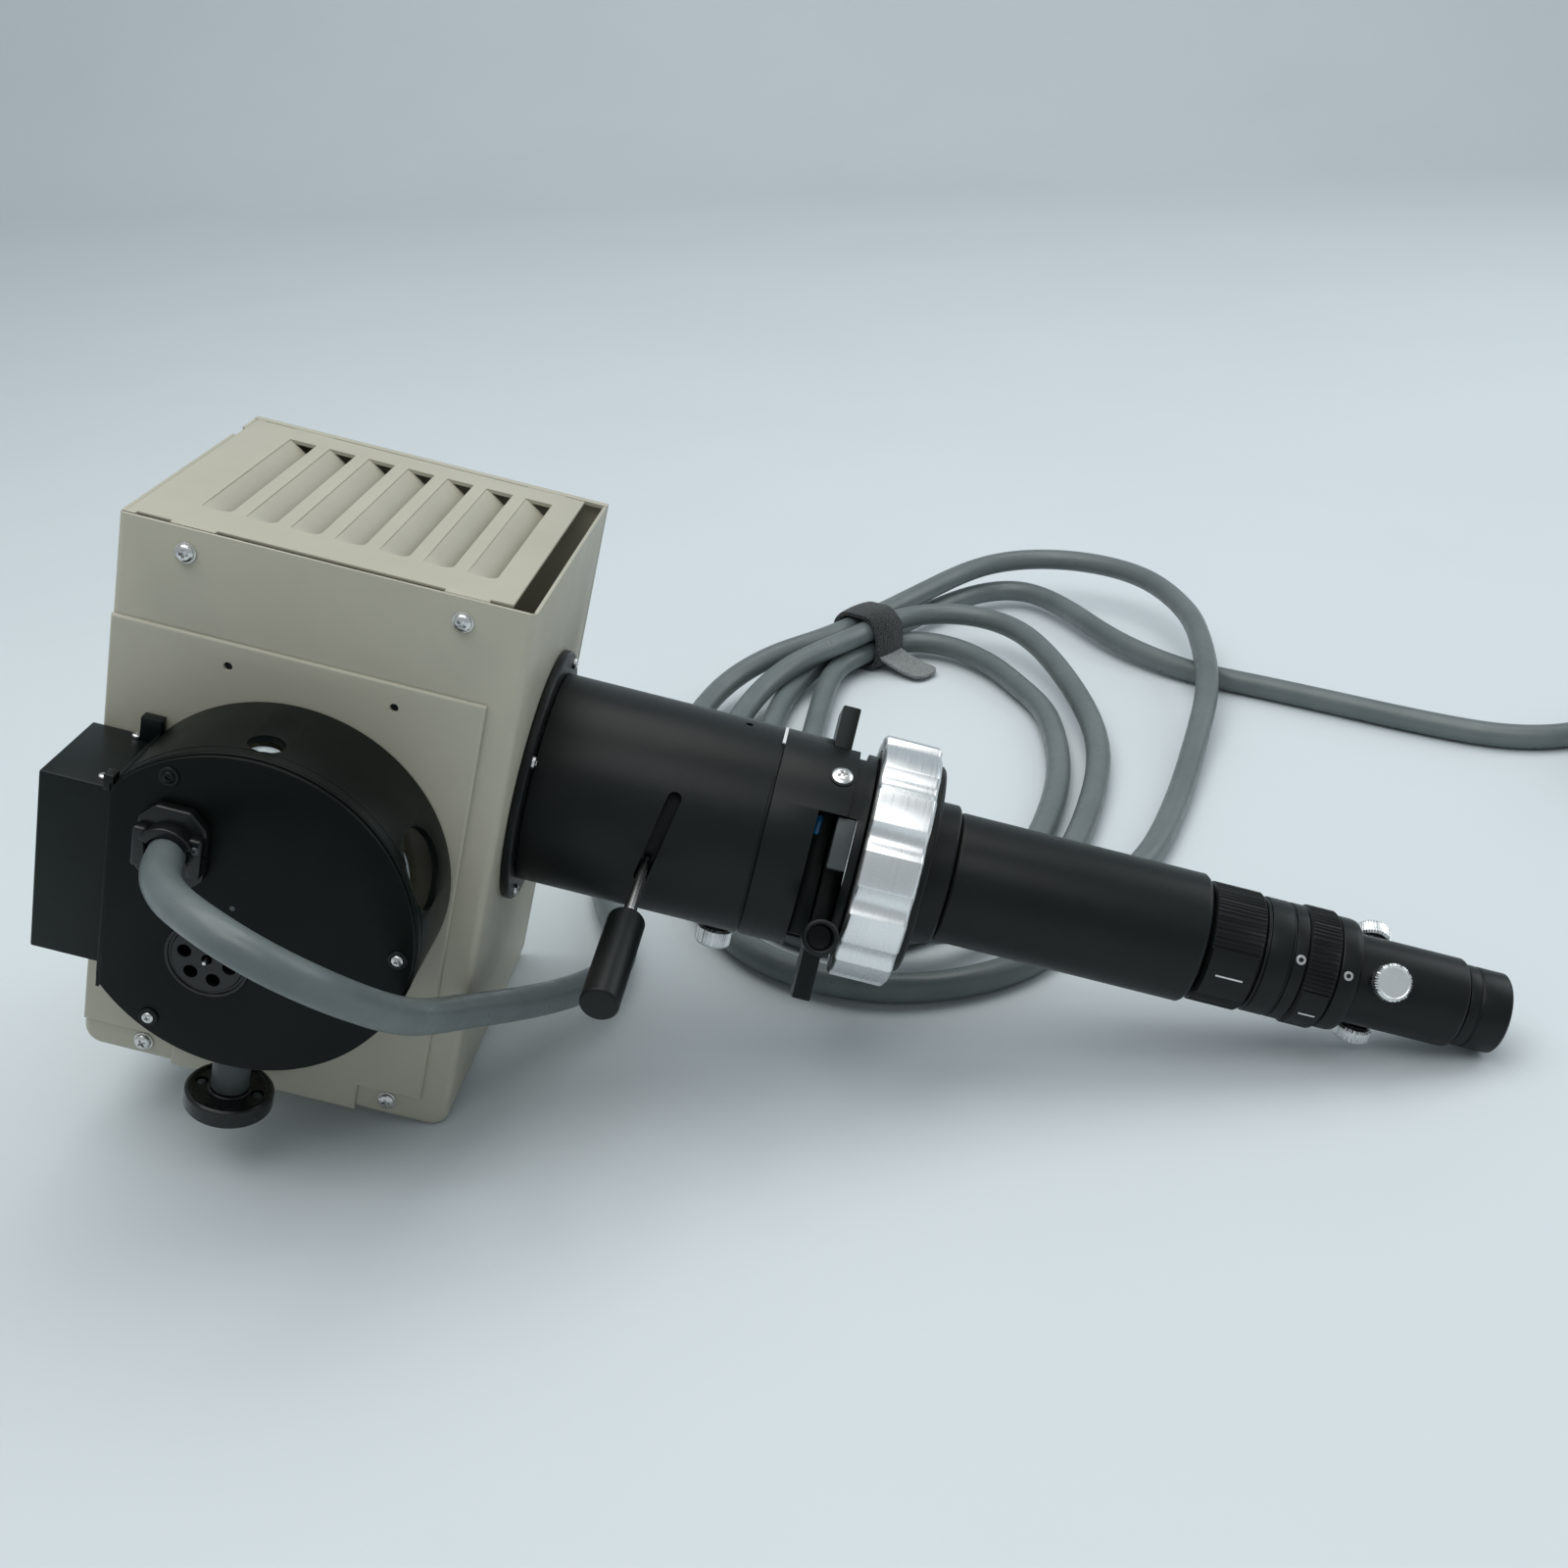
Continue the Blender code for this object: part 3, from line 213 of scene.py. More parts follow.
KNURLED = machined(
    "black_knurled", (0.0020, 0.0032, 0.0030), (0.0040, 0.0056, 0.0052), 0.40, 0.0, 2600.0, 0.10, 0.06, 0.26
)
SATIN = machined("satin_aluminium", (0.76, 0.775, 0.78), (0.86, 0.87, 0.875), 0.30, 1.0, 3400.0, 0.18, 0.10)
ZINC = machined("zinc_steel", (0.62, 0.62, 0.61), (0.74, 0.74, 0.73), 0.25, 1.0, 2000.0, 0.1)
GREY_METAL = machined("grey_shaft", (0.045, 0.055, 0.055), (0.070, 0.080, 0.080), 0.45, 0.2)
PHENOLIC = paint(
    "black_phenolic", (0.0035, 0.0050, 0.0048), (0.0065, 0.0085, 0.0080), 0.27, 700.0, 0.10, 0.06, 0.42
)
BRASS = machined("lamp_brass", (0.55, 0.38, 0.15), (0.66, 0.48, 0.22), 0.30, 1.0)
CLEAR = glass("clear_glass", (0.85, 0.92, 0.92), 0.35)
BLUE = glass("blue_filter_glass", (0.04, 0.42, 0.95), 0.85)
MIRROR = machined("mirror_coating", (0.86, 0.87, 0.88), (0.90, 0.90, 0.91), 0.05, 1.0)
CORD_GREY = sheath("cord_pvc")
LOOP_TAPE = fuzzy("hook_and_loop", (0.003, 0.006, 0.006), (0.017, 0.026, 0.025))
LOOP_TAPE_BACK = fuzzy("hook_and_loop_back", (0.16, 0.17, 0.17), (0.36, 0.38, 0.38))
MARK_WHITE = paint("index_mark", (0.62, 0.63, 0.63), (0.74, 0.75, 0.75), 0.5)
PALE = paint("port_disc", (0.42, 0.48, 0.49), (0.52, 0.58, 0.59), 0.35)

# ---------------------------------------------------------------- mesh helpers


def linked(name, data):
    obj = bpy.data.objects.new(name, data)
    bpy.context.scene.collection.objects.link(obj)
    return obj


def make_object(name, shape, material, matrix, sharp=35):
    """An object at the world's origin whose mesh is placed by the matrix."""
    bmesh.ops.recalc_face_normals(shape, faces=shape.faces)
    mesh = bpy.data.meshes.new(name)
    shape.to_mesh(mesh)
    shape.free()
    mesh.transform(matrix)
    if matrix.determinant() < 0:
        mesh.flip_normals()
    mesh.materials.append(material)
    mesh.shade_smooth()
    mesh.set_sharp_from_angle(angle=radians(sharp))
    return linked(name, mesh)


def aim(origin, direction):
    """The frame at origin whose X axis points along direction."""
    x = Vector(direction).normalized()
    y = Vector((0, 1, 0)) if abs(x.y) < 0.9 else Vector((0, 0, 1))
    z = x.cross(y).normalized()
    y = z.cross(x)
    return Matrix.Translation(origin) @ Matrix((x, y, z)).transposed().to_4x4()


def radial(angle):
    """The direction out of the tube at an angle from the front."""
    return Vector((0, -cos(angle), sin(angle)))


def outward(x, angle, reach=0.0):
    """The frame that points out of the tube at x, with its origin at a reach from the axis."""
    out = radial(angle)
    return HOUSE @ aim(Vector((x, 0, 0)) + out * reach, out)


def backward(x, z):
    """The frame at (x, z) that points from front to back through the casing."""
    return HOUSE @ aim((x, 0, z), (0, 1, 0))


def forward(x, y, z):
    """The frame at a point that points out of the front."""
    return HOUSE @ aim((x, y, z), (0, -1, 0))


def eased(profile, radius=0.0004, steps=3, closed=True):
    """The profile with each corner rounded by a small arc."""
    if radius <= 0:
        return profile
    result = []
    count = len(profile)
    for i, point in enumerate(profile):
        here = Vector(point)
        if not closed and i in (0, count - 1):
            result.append(point)
            continue
        back = Vector(profile[i - 1]) - here
        ahead = Vector(profile[(i + 1) % count]) - here
        reach = min(radius, 0.45 * back.length, 0.45 * ahead.length)
        first = here + back.normalized() * reach
        last = here + ahead.normalized() * reach
        for k in range(steps + 1):
            t = k / steps
            spot = first * (1 - t) ** 2 + here * 2 * t * (1 - t) + last * t * t
            result.append((spot.x, spot.y))
    return result


def lathe_shape(profile, steps=96, closed=True, shape=None):
    """A turned shape about X. The profile lists (along, radius), and shape may vary the radius."""
    made = bmesh.new()
    rows = []
    for i in range(steps):
        angle = 2 * pi * i / steps
        row = []
        for along, radius in profile:
            reach = shape(angle, along, radius) if shape and radius > 0 else radius
            row.append(made.verts.new((along, -reach * cos(angle), reach * sin(angle))))
        rows.append(row)
    last = len(profile) if closed else len(profile) - 1
    for i in range(steps):
        here, there = rows[i], rows[(i + 1) % steps]
        for k in range(last):
            n = (k + 1) % len(profile)
            made.faces.new((here[k], here[n], there[n], there[k]))
    bmesh.ops.remove_doubles(made, verts=made.verts, dist=1e-7)
    bmesh.ops.dissolve_degenerate(made, dist=1e-8, edges=made.edges)
    return made


def lathe(name, profile, material, matrix=HOUSE, steps=96, closed=True, ease=0.0004, shape=None):
    return make_object(
        name, lathe_shape(eased(profile, ease, 3, closed), steps, closed, shape), material, matrix
    )


def prism_shape(outline, low, high, plane="XZ"):
    """An outline pushed from low to high along the axis that its plane leaves out."""
    place = {
        "XZ": lambda u, v, w: (u, w, v),
        "YZ": lambda u, v, w: (w, u, v),
        "XY": lambda u, v, w: (u, v, w),
    }[plane]
    made = bmesh.new()
    near = [made.verts.new(place(u, v, low)) for u, v in outline]
    far = [made.verts.new(place(u, v, high)) for u, v in outline]
    made.faces.new(near)
    made.faces.new(far[::-1])
    count = len(outline)
    for i in range(count):
        n = (i + 1) % count
        made.faces.new((near[i], near[n], far[n], far[i]))
    bmesh.ops.recalc_face_normals(made, faces=made.faces)
    return made


def ease_edges(made, width, segments=2, sharper=radians(25), pick=None):
    """Rounds the edges that are sharper than an angle, and that pick accepts."""
    chosen = [
        edge
        for edge in made.edges
        if len(edge.link_faces) == 2
        and edge.calc_face_angle(0) > sharper
        and (pick is None or pick(edge))
    ]
    bmesh.ops.bevel(
        made, geom=chosen, offset=width, segments=segments, affect="EDGES", profile=0.5, clamp_overlap=True
    )
    return made


def slab(name, low, high, material, matrix=HOUSE, width=0.0004, segments=2):
    """A block with rounded edges."""
    outline = [(low[0], low[2]), (high[0], low[2]), (high[0], high[2]), (low[0], high[2])]
    made = prism_shape(outline, low[1], high[1])
    if width:
        ease_edges(made, width, segments)
    return make_object(name, made, material, matrix)


def carve(obj, *tools):
    """Takes the tools out of obj and removes them. It also applies what modifiers obj has."""
    for tool in tools:
        modifier = obj.modifiers.new("carve", "BOOLEAN")
        modifier.operation = "DIFFERENCE"
        modifier.object = tool
        modifier.solver = "EXACT"
    graph = bpy.context.evaluated_depsgraph_get()
    mesh = bpy.data.meshes.new_from_object(obj.evaluated_get(graph))
    obj.modifiers.clear()
    old = obj.data
    obj.data = mesh
    bpy.data.meshes.remove(old)
    for tool in tools:
        bpy.data.objects.remove(tool)
    obj.data.shade_smooth()
    obj.data.set_sharp_from_angle(angle=radians(35))
    return obj


def soften(obj, width=0.0003):
    """Rounds the edges sharper than 50 degrees by a little."""
    bevel = obj.modifiers.new("edges", "BEVEL")
    bevel.width = width
    bevel.segments = 2
    bevel.limit_method = "ANGLE"
    bevel.angle_limit = radians(50)
    return carve(obj)


def fuse(name, *pieces):
    """Joins meshes into one object, without a union. It keeps each mesh's material."""
    made = bmesh.new()
    materials = []
    for piece in pieces:
        start = len(made.faces)
        made.from_mesh(piece.data)
        made.faces.ensure_lookup_table()
        local = list(piece.data.materials)
        for material in local:
            if material not in materials:
                materials.append(material)
        for face in made.faces[start:]:
            face.material_index = materials.index(local[face.material_index])
    mesh = bpy.data.meshes.new(name)
    made.to_mesh(mesh)
    made.free()
    for material in materials:
        mesh.materials.append(material)
    for piece in pieces:
        bpy.data.objects.remove(piece)
    mesh.shade_smooth()
    mesh.set_sharp_from_angle(angle=radians(35))
    return linked(name, mesh)


def stands(obj, slot, *nodes, body=BODY):
    """Sets what the piece rides on and hides the CAD nodes that it stands for. The slot argument is not used.
    """
    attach(obj, body)
    if nodes:
        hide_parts(*nodes)
    return obj


def arc(centre, radius, first, last, count):
    step = (last - first) / count
    return [
        (centre[0] + radius * cos(first + step * i), centre[1] + radius * sin(first + step * i))
        for i in range(count + 1)
    ]


def band(low, high, inner, outer):
    """The profile of a plain ring."""
    return [(high, inner), (high, outer), (low, outer), (low, inner)]


def rod(name, start, end, radius, material, matrix=HOUSE, steps=48, ease=0.0):
    return lathe(name, band(start, end, 0, radius), material, matrix, steps, False, ease)


def sheet_shape(points):
    """A thin sheet from rows of (upper, lower) points, closed along its four edges."""
    made = bmesh.new()
    rows = [[[made.verts.new(p) for p in pair] for pair in row] for row in points]
    last = len(rows[0]) - 1
    for a, b in zip(rows, rows[1:]):
        for i in range(last):
            for side in (0, 1):
                made.faces.new((a[i][side], a[i + 1][side], b[i + 1][side], b[i][side]))
        for i in (0, last):
            made.faces.new((a[i][0], b[i][0], b[i][1], a[i][1]))
    for row in (rows[0], rows[-1]):
        for i in range(last):
            made.faces.new((row[i][0], row[i + 1][0], row[i + 1][1], row[i][1]))
    return made


def turned_part(name, profile, node, matrix=HOUSE, steps=128, closed=True, ease=0.0003, body=BODY):
    """A turned part in black anodised aluminium that stands for one CAD node."""
    made = lathe(name, profile, ANODISED, matrix, steps, closed, ease)
    return stands(made, "black_anodised", node, body=body)


def lens_part(name, profile, node, steps=64, body=BODY):
    made = lathe(name, profile, CLEAR, HOUSE, steps, False, 0.0)
    return stands(made, "clear_glass", node, body=body)


# ---------------------------------------------------------------- camera and light


def make_camera():
    """Above and in front of the lamp house, looking down along the table."""
    data = bpy.data.cameras.new("camera")
    data.lens = 41.93
    data.sensor_width = 36.0
    camera = linked("camera", data)
    azimuth, elevation, roll = radians(6.93), radians(-24.96), radians(-3.02)
    turn = Matrix.Rotation(azimuth, 4, "Z") @ Matrix.Rotation(pi / 2 + elevation, 4, "X")
    place = Matrix.Translation((0.0593, -0.5015, 0.3425))
    camera.matrix_world = place @ turn @ Matrix.Rotation(roll, 4, "Z")
    bpy.context.scene.camera = camera


def area_light(name, at, towards, size, power, colour):
    data = bpy.data.lights.new(name, "AREA")
    data.shape = "RECTANGLE"
    data.size, data.size_y = size
    data.energy = power
    data.color = colour
    light = linked(name, data)
    light.location = at
    light.rotation_euler = (Vector(towards) - Vector(at)).to_track_quat("-Z", "Y").to_euler()


def make_room():
    """A pale table that curves up far behind, soft light from above and a weak fill from the front."""
    floor = bmesh.new()
    back, rise, half = 2.2, 0.9, 7.0
    line = [(-5.0, 0.0), (back, 0.0)] + arc((back, rise), rise, -pi / 2, 0, 24)[1:] + [(back + rise, 5.0)]
    rows = [[floor.verts.new((x, y, z)) for y, z in line] for x in (-half, half)]
    for i in range(len(line) - 1):
        floor.faces.new((rows[0][i], rows[1][i], rows[1][i + 1], rows[0][i + 1]))
    table = make_object("table", floor, table_top("table_top"), WORLD, 60)
    area_light("overhead", (-0.2, 0.30, 1.6), (0.0, 0.0, 0.0), (1.8, 1.0), 12.0, (1.0, 0.995, 0.97))
    area_light("window", (1.5, 0.8, 1.0), (0.0, 0.0, 0.05), (1.2, 1.2), 8.0, (0.92, 0.97, 1.0))
    area_light("front", (-0.1, -0.75, 1.6), (0.0, -0.25, 0.0), (1.8, 0.9), 10.0, (0.97, 0.99, 1.0))
    area_light("backdrop", (0.0, 1.5, 2.0), (0.0, 3.0, 0.6), (3.5, 1.2), 15.0, (0.94, 0.98, 1.0))
    world = bpy.data.worlds.new("room")
    world.use_nodes = True
    background = world.node_tree.nodes["Background"]
    background.inputs["Color"].default_value = (0.80, 0.86, 0.90, 1)
    background.inputs["Strength"].default_value = 0.50
    bpy.context.scene.world = world
    bpy.context.scene.view_settings.view_transform = "Standard"


# ---------------------------------------------------------------- cord

FLOOR_LINE = 0.0057
CORD_LEAD = (
    (-0.1632, -0.0765, 0.1225),
    (-0.1618, -0.0870, 0.1234),
    (-0.1525, -0.1035, 0.1245),
    (-0.1370, -0.1175, 0.1240),
    (-0.1228, -0.1235, 0.1180),
    (-0.1112, -0.1185, 0.1070),
    (-0.1047, -0.1020, 0.0905),
    (-0.1010, -0.0765, 0.0705),
    (-0.0963, -0.0430, 0.0520),
    (-0.0880, -0.0130, 0.0360),
    (-0.0770, 0.0190, 0.0220),
    (-0.0700, 0.0520, 0.0120),
    (-0.0760, 0.0830, 0.0070),
    (-0.0880, 0.1130, FLOOR_LINE),
    (-0.0920, 0.1340, FLOOR_LINE),
)
CORD_LOOPS = (
    (-0.0915, 0.1700, FLOOR_LINE),
    (-0.0870, 0.2200, FLOOR_LINE),
    (-0.0790, 0.2700, 0.0080),
    (-0.0660, 0.3130, 0.0140),
    (-0.0440, 0.3400, 0.0190),
    (-0.0224, 0.3553, 0.0205),
    (-0.0044, 0.3793, 0.0205),
    (0.0060, 0.3935, 0.0205),
    (0.0210, 0.4170, 0.0205),
    (0.0600, 0.4600, 0.0240),
    (0.1010, 0.4660, 0.0245),
    (0.1400, 0.4400, 0.0240),
    (0.1600, 0.3900, 0.0225),
    (0.1640, 0.3450, 0.0200),
    (0.1620, 0.3000, 0.0150),
    (0.1500, 0.2440, 0.0080),
    (0.1380, 0.1950, FLOOR_LINE),
    (0.1230, 0.1480, FLOOR_LINE),
    (0.0980, 0.1030, FLOOR_LINE),
    (0.0750, 0.0660, FLOOR_LINE),
    (0.0460, 0.0500, FLOOR_LINE),
    (0.0190, 0.0480, FLOOR_LINE),
    (-0.0130, 0.0610, FLOOR_LINE),
    (-0.0380, 0.0880, FLOOR_LINE),
    (-0.0530, 0.1240, FLOOR_LINE),
    (-0.0600, 0.1700, FLOOR_LINE),
    (-0.0615, 0.2230, 0.0060),
    (-0.0580, 0.2650, 0.0080),
    (-0.0500, 0.3000, 0.0125),
    (-0.0350, 0.3280, 0.0178),
    (-0.0136, 0.3487, 0.0205),
    (0.0044, 0.3727, 0.0205),
    (0.0160, 0.3860, 0.0205),
    (0.0400, 0.3950, 0.0200),
    (0.0690, 0.3840, 0.0180),
    (0.0890, 0.3490, 0.0150),
    (0.1060, 0.2860, 0.0100),
    (0.1090, 0.2370, 0.0070),
    (0.0990, 0.1750, FLOOR_LINE),
    (0.0850, 0.1300, 0.0062),
    (0.0660, 0.0930, 0.0095),
    (0.0450, 0.0740, 0.0140),
    (0.0200, 0.0740, 0.0170),
    (-0.0010, 0.0920, 0.0140),
    (-0.0140, 0.1250, 0.0080),
    (-0.0195, 0.1700, FLOOR_LINE),
    (-0.0205, 0.2300, FLOOR_LINE),
    (-0.0195, 0.2800, FLOOR_LINE),
    (-0.0180, 0.3200, 0.0072),
    (-0.0136, 0.3487, 0.0092),
    (0.0044, 0.3727, 0.0092),
    (0.0150, 0.3830, 0.0092),
    (0.0380, 0.3800, 0.0085),
    (0.0610, 0.3560, 0.0072),
    (0.0750, 0.3280, 0.0062),
    (0.0880, 0.2930, FLOOR_LINE),
    (0.0915, 0.2330, FLOOR_LINE),
    (0.0840, 0.1780, FLOOR_LINE),
    (0.0700, 0.1320, FLOOR_LINE),
    (0.0530, 0.1050, FLOOR_LINE),
    (0.0350, 0.0900, FLOOR_LINE),
    (0.0120, 0.0800, FLOOR_LINE),
    (-0.0110, 0.0860, FLOOR_LINE),
    (-0.0290, 0.1100, FLOOR_LINE),
    (-0.0390, 0.1500, FLOOR_LINE),
    (-0.0415, 0.2100, FLOOR_LINE),
    (-0.0405, 0.2700, FLOOR_LINE),
    (-0.0365, 0.3180, 0.0065),
    (-0.0224, 0.3553, 0.0092),
    (-0.0044, 0.3793, 0.0092),
    (0.0060, 0.3935, 0.0092),
    (0.0230, 0.4180, 0.0092),
    (0.0500, 0.4500, 0.0096),
    (0.0780, 0.4600, 0.0096),
    (0.1010, 0.4320, 0.0090),
    (0.1260, 0.3820, 0.0080),
    (0.1560, 0.3480, 0.0060),
)
CORD_TAIL = (
    (0.1830, 0.3305, FLOOR_LINE),
    (0.1960, 0.3220, FLOOR_LINE),
    (0.2230, 0.3040, FLOOR_LINE),
    (0.2540, 0.2830, FLOOR_LINE),
    (0.2880, 0.2650, FLOOR_LINE),
    (0.3160, 0.2660, FLOOR_LINE),
    (0.3330, 0.2760, FLOOR_LINE),
)
COIL_AT = (0.3966, 0.2462)
COIL_RADIUS = 0.0580
COIL_TURNS = 2.335
COIL_PITCH = 0.0112
COIL_LEAVE = 0.0390
COIL_START = radians(120.6)
STRAP_AT = Vector((0.0, 0.3760, 0.0))
STRAP_TURN = atan2(0.8, 0.6)


def coil_points(count=72):
    """The coil's turns, clockwise from where the tail comes in, rising by one pitch a turn."""
    points = []
    for i in range(count + 1):
        t = i / count
        angle = COIL_START - 2 * pi * COIL_TURNS * t
        height = FLOOR_LINE + COIL_PITCH * COIL_TURNS * t
        x, y = COIL_AT[0] + COIL_RADIUS * cos(angle), COIL_AT[1] + COIL_RADIUS * sin(angle)
        points.append((x, y, height))
    return points


def smooth_path(points, per_span=6):
    """A Catmull-Rom curve through the points."""
    places = [Vector(p) for p in points]
    path = []
    for i in range(len(places) - 1):
        a = places[max(i - 1, 0)]
        b, c = places[i], places[i + 1]
        d = places[min(i + 2, len(places) - 1)]
        for k in range(per_span):
            t = k / per_span
            bend, twist = 2 * a - 5 * b + 4 * c - d, 3 * b - 3 * c + d - a
            path.append(0.5 * (2 * b + (c - a) * t + bend * t * t + twist * t**3))
    path.append(places[-1])
    return path


def settled(path, spacing=0.004, rounds=14):
    """The path spaced evenly and relaxed, so that its bends are as even as a stiff cable's."""
    even = [path[0]]
    walked = 0.0
    for a, b in zip(path, path[1:]):
        step = (b - a).length
        while walked + step >= spacing:
            a = a + (b - a) * ((spacing - walked) / step)
            even.append(a)
            step = (b - a).length
            walked = 0.0
        walked += step
    if (path[-1] - even[-1]).length < spacing / 2:
        even.pop()
    even.append(path[-1])
    for _ in range(rounds):
        inner = [(a + 2 * b + c) / 4 for a, b, c in zip(even, even[1:], even[2:])]
        even = [even[0]] + inner + [even[-1]]
    return even


def make_cord():
    """The whole cable: from the gland through three strapped loops to the coil and its connector."""
    route = list(CORD_LEAD) + list(CORD_LOOPS) + list(CORD_TAIL)
    coil = coil_points()
    end = (COIL_AT[0] + COIL_RADIUS, COIL_AT[1] - COIL_LEAVE, coil[-1][2])
    path = settled(smooth_path(route + coil + [end]))
    curve = bpy.data.curves.new("cord", "CURVE")
    curve.dimensions = "3D"
    curve.bevel_depth = CORD_DIAMETER / 2
    curve.bevel_resolution = 6
    curve.use_fill_caps = True
    spline = curve.splines.new("POLY")
    spline.points.add(len(path) - 1)
    for point, place in zip(spline.points, path):
        point.co = (*place, 1.0)
    spline.use_smooth = True
    cord = linked("cord", curve)
    curve.materials.append(CORD_GREY)
    stands(cord, "cord_pvc", "cord_lead", "cord_loops", "cord_tail", "cord_coil")
    make_strap()
    make_connector(end)


def make_strap():
    """The hook-and-loop strap: a soft band round the four strands, and its loose end on the table."""
    matrix = Matrix.Translation(STRAP_AT) @ Matrix.Rotation(STRAP_TURN, 4, "Z")
    half, wide, low, high = 0.0095, 0.0128, 0.0022, 0.0275
    bend = 0.0085
    loop = arc((-wide + bend, low + bend), bend, pi, 1.5 * pi, 7)
    loop += arc((wide - bend, low + bend), bend, 1.5 * pi, 2 * pi, 7)
    loop += arc((wide - bend, high - bend), bend, 0, 0.5 * pi, 7)
    loop += arc((-wide + bend, high - bend), bend, 0.5 * pi, pi, 7)
    made = bmesh.new()
    rings = []
    across = 10
    for k in range(across + 1):
        x = -half + 2 * half * k / across
        swell = 0.0006 * (1 - (2 * k / across - 1) ** 2)
        for thick in (0.0, 0.0021):
            row = []
            for i, (y, z) in enumerate(loop):
                out = Vector((y, z - (low + high) / 2)).normalized() * (thick + (swell if thick else 0.0))
                fray = 0.00035 * sin(7.3 * i + 2.1 * k) if thick else 0.0
                row.append(made.verts.new((x + fray, y + out.x, max(z + out.y, 0.0005))))
            rings.append(row)
    count = len(loop)
    for k in range(across):
        for side in (0, 1):
            a, b = rings[2 * k + side], rings[2 * k + 2 + side]
            for i in range(count):
                n = (i + 1) % count
                made.faces.new((a[i], a[n], b[n], b[i]))
    for pair in ((rings[0], rings[1]), (rings[-2], rings[-1])):
        for i in range(count):
            n = (i + 1) % count
            made.faces.new((pair[0][i], pair[0][n], pair[1][n], pair[1][i]))
    band = make_object("strap_band", made, LOOP_TAPE, matrix, 50)
    length, steps, thick = 0.026, 12, 0.0014
    rows = []
    for k in range(steps + 1):
        t = k / steps
        y = -wide - 0.0015 - length * t
        z = 0.0055 * (1 - t) ** 2 + 0.0022
        spread = (half - 0.0012) * (1 if t < 0.8 else (1 - ((t - 0.8) / 0.2) ** 2 * 0.75) ** 0.5)
        across_tongue = (-spread, -spread / 3, spread / 3, spread)
        rows.append([((x, y, z + thick), (x, y, z)) for x in across_tongue])
    tongue = make_object("strap_end", sheet_shape(rows), LOOP_TAPE_BACK, matrix, 50)
    return stands(fuse("strap", band, tongue), "hook_and_loop", "cord_strap")


def make_connector(end):
    """A generic round connector with a ribbed boot, its nose resting on the table."""
    reach, nose = 0.0720, 0.0095
    drop = end[2] - nose
    direction = Vector((0, -((reach**2 - drop**2) ** 0.5), -drop))
    matrix = aim(end, direction)
    boot = [(0.0335, 0), (0.0335, 0.0090)]
    for i in range(9):
        x, groove = 0.0310 - 0.0034 * i, 0.0076 - 0.00016 * i
        boot += [(x, 0.0088 - 0.00024 * i), (x - 0.0012, groove), (x - 0.0024, groove)]
    boot += [(0.0, 0.0061), (0.0, 0)]
    grip = [(0.0628, 0), (0.0628, 0.0100), (0.0620, 0.0105), (0.0345, 0.0105), (0.0337, 0.0097), (0.0337, 0)]
    shell = [(reach, 0.0072), (reach, 0.0085), (0.0630, 0.0085), (0.0630, 0), (0.0650, 0), (0.0650, 0.0072)]

    def ribbed(angle, along, radius):
        return radius - (0.0005 if 0.037 < along < 0.060 and radius > 0.0103 and sin(30 * angle) < 0 else 0.0)

    pieces = [
        lathe("boot", boot, PHENOLIC, matrix, 48, False, 0.0004),
        lathe("grip", eased(grip, 0.0006, 3, False), PHENOLIC, matrix, 120, False, 0.0, ribbed),
        lathe("shell", shell, ZINC, matrix, 64, False, 0.0004),
    ]
    return stands(fuse("connector", *pieces), "black_phenolic", "cord_connector")


# ---------------------------------------------------------------- screws


def cross_head(radius, height, matrix, material=ZINC):
    """A pan head with a cross recess, its axis along the matrix's X."""
    profile = [(height, 0), (height * 0.985, radius * 0.35), (height * 0.90, radius * 0.66)]
    profile += [(height * 0.72, radius * 0.87), (height * 0.55, radius * 0.97)]
    profile += [(height * 0.25, radius), (0, radius), (-0.0015, radius * 0.5), (-0.0015, 0)]
    head = lathe("head", profile, material, matrix, 40, False, 0.0)
    arms = []
    for turn in (0, pi / 2):
        made = bmesh.new()
        length, width = radius * 0.62, radius * 0.17
        top, low = height * 1.2, height * 0.38
        near = [(top, -length, -width), (top, length, -width), (top, length, width), (top, -length, width)]
        far = [(low, y * 0.45, z * 0.7) for _, y, z in near]
        a = [made.verts.new(p) for p in near]
        b = [made.verts.new(p) for p in far]
        made.faces.new(a)
        made.faces.new(b[::-1])
        for i in range(4):
            n = (i + 1) % 4
            made.faces.new((a[i], a[n], b[n], b[i]))
        arms.append(make_object("arm", made, BLACK, matrix @ Matrix.Rotation(turn + 0.5, 4, "X")))
    return carve(head, *arms)


def socket_screw(radius, matrix):
    """A set screw seen end on: a bright ring with a dark six-sided socket."""
    body = rod("set", -0.001, 0.0002, radius, ZINC, matrix, 24, 0.0001)
    cutter = rod("socket", -0.0007, 0.001, radius * 0.52, BLACK, matrix, 6)
    return carve(body, cutter)


def knurled_head(name, base, radius, height, matrix, body, node, cap=0.0008):
    """A thumb screw: straight-knurled rim, plain turned face, black washer and neck."""
    top = base + height
    profile = [(top - 0.0002, 0), (top - 0.0002, radius * 0.78), (top, radius * 0.82), (top, radius - cap)]
    profile += [(top - cap, radius), (base + cap, radius), (base, radius - cap), (base, 0.0024)]
    profile += [(base - 0.0008, 0.0024), (base - 0.0008, 0)]

    def knurl(angle, along, r):
        inside = base + cap * 0.8 < along < top - cap * 0.8
        return r - (0.00028 if inside and r > radius * 0.95 and sin(44 * angle) < 0 else 0.0)

    head = lathe("head", profile, SATIN, matrix, 176, False, 0.0, knurl)
    washer = band(base - 0.0008, base - 0.0002, 0.0024, 0.0046)
    ring = lathe("washer", washer, BLACK, matrix, 48, True, 0.0001)
    return stands(fuse(name, head, ring), "satin_aluminium", node, body=body)


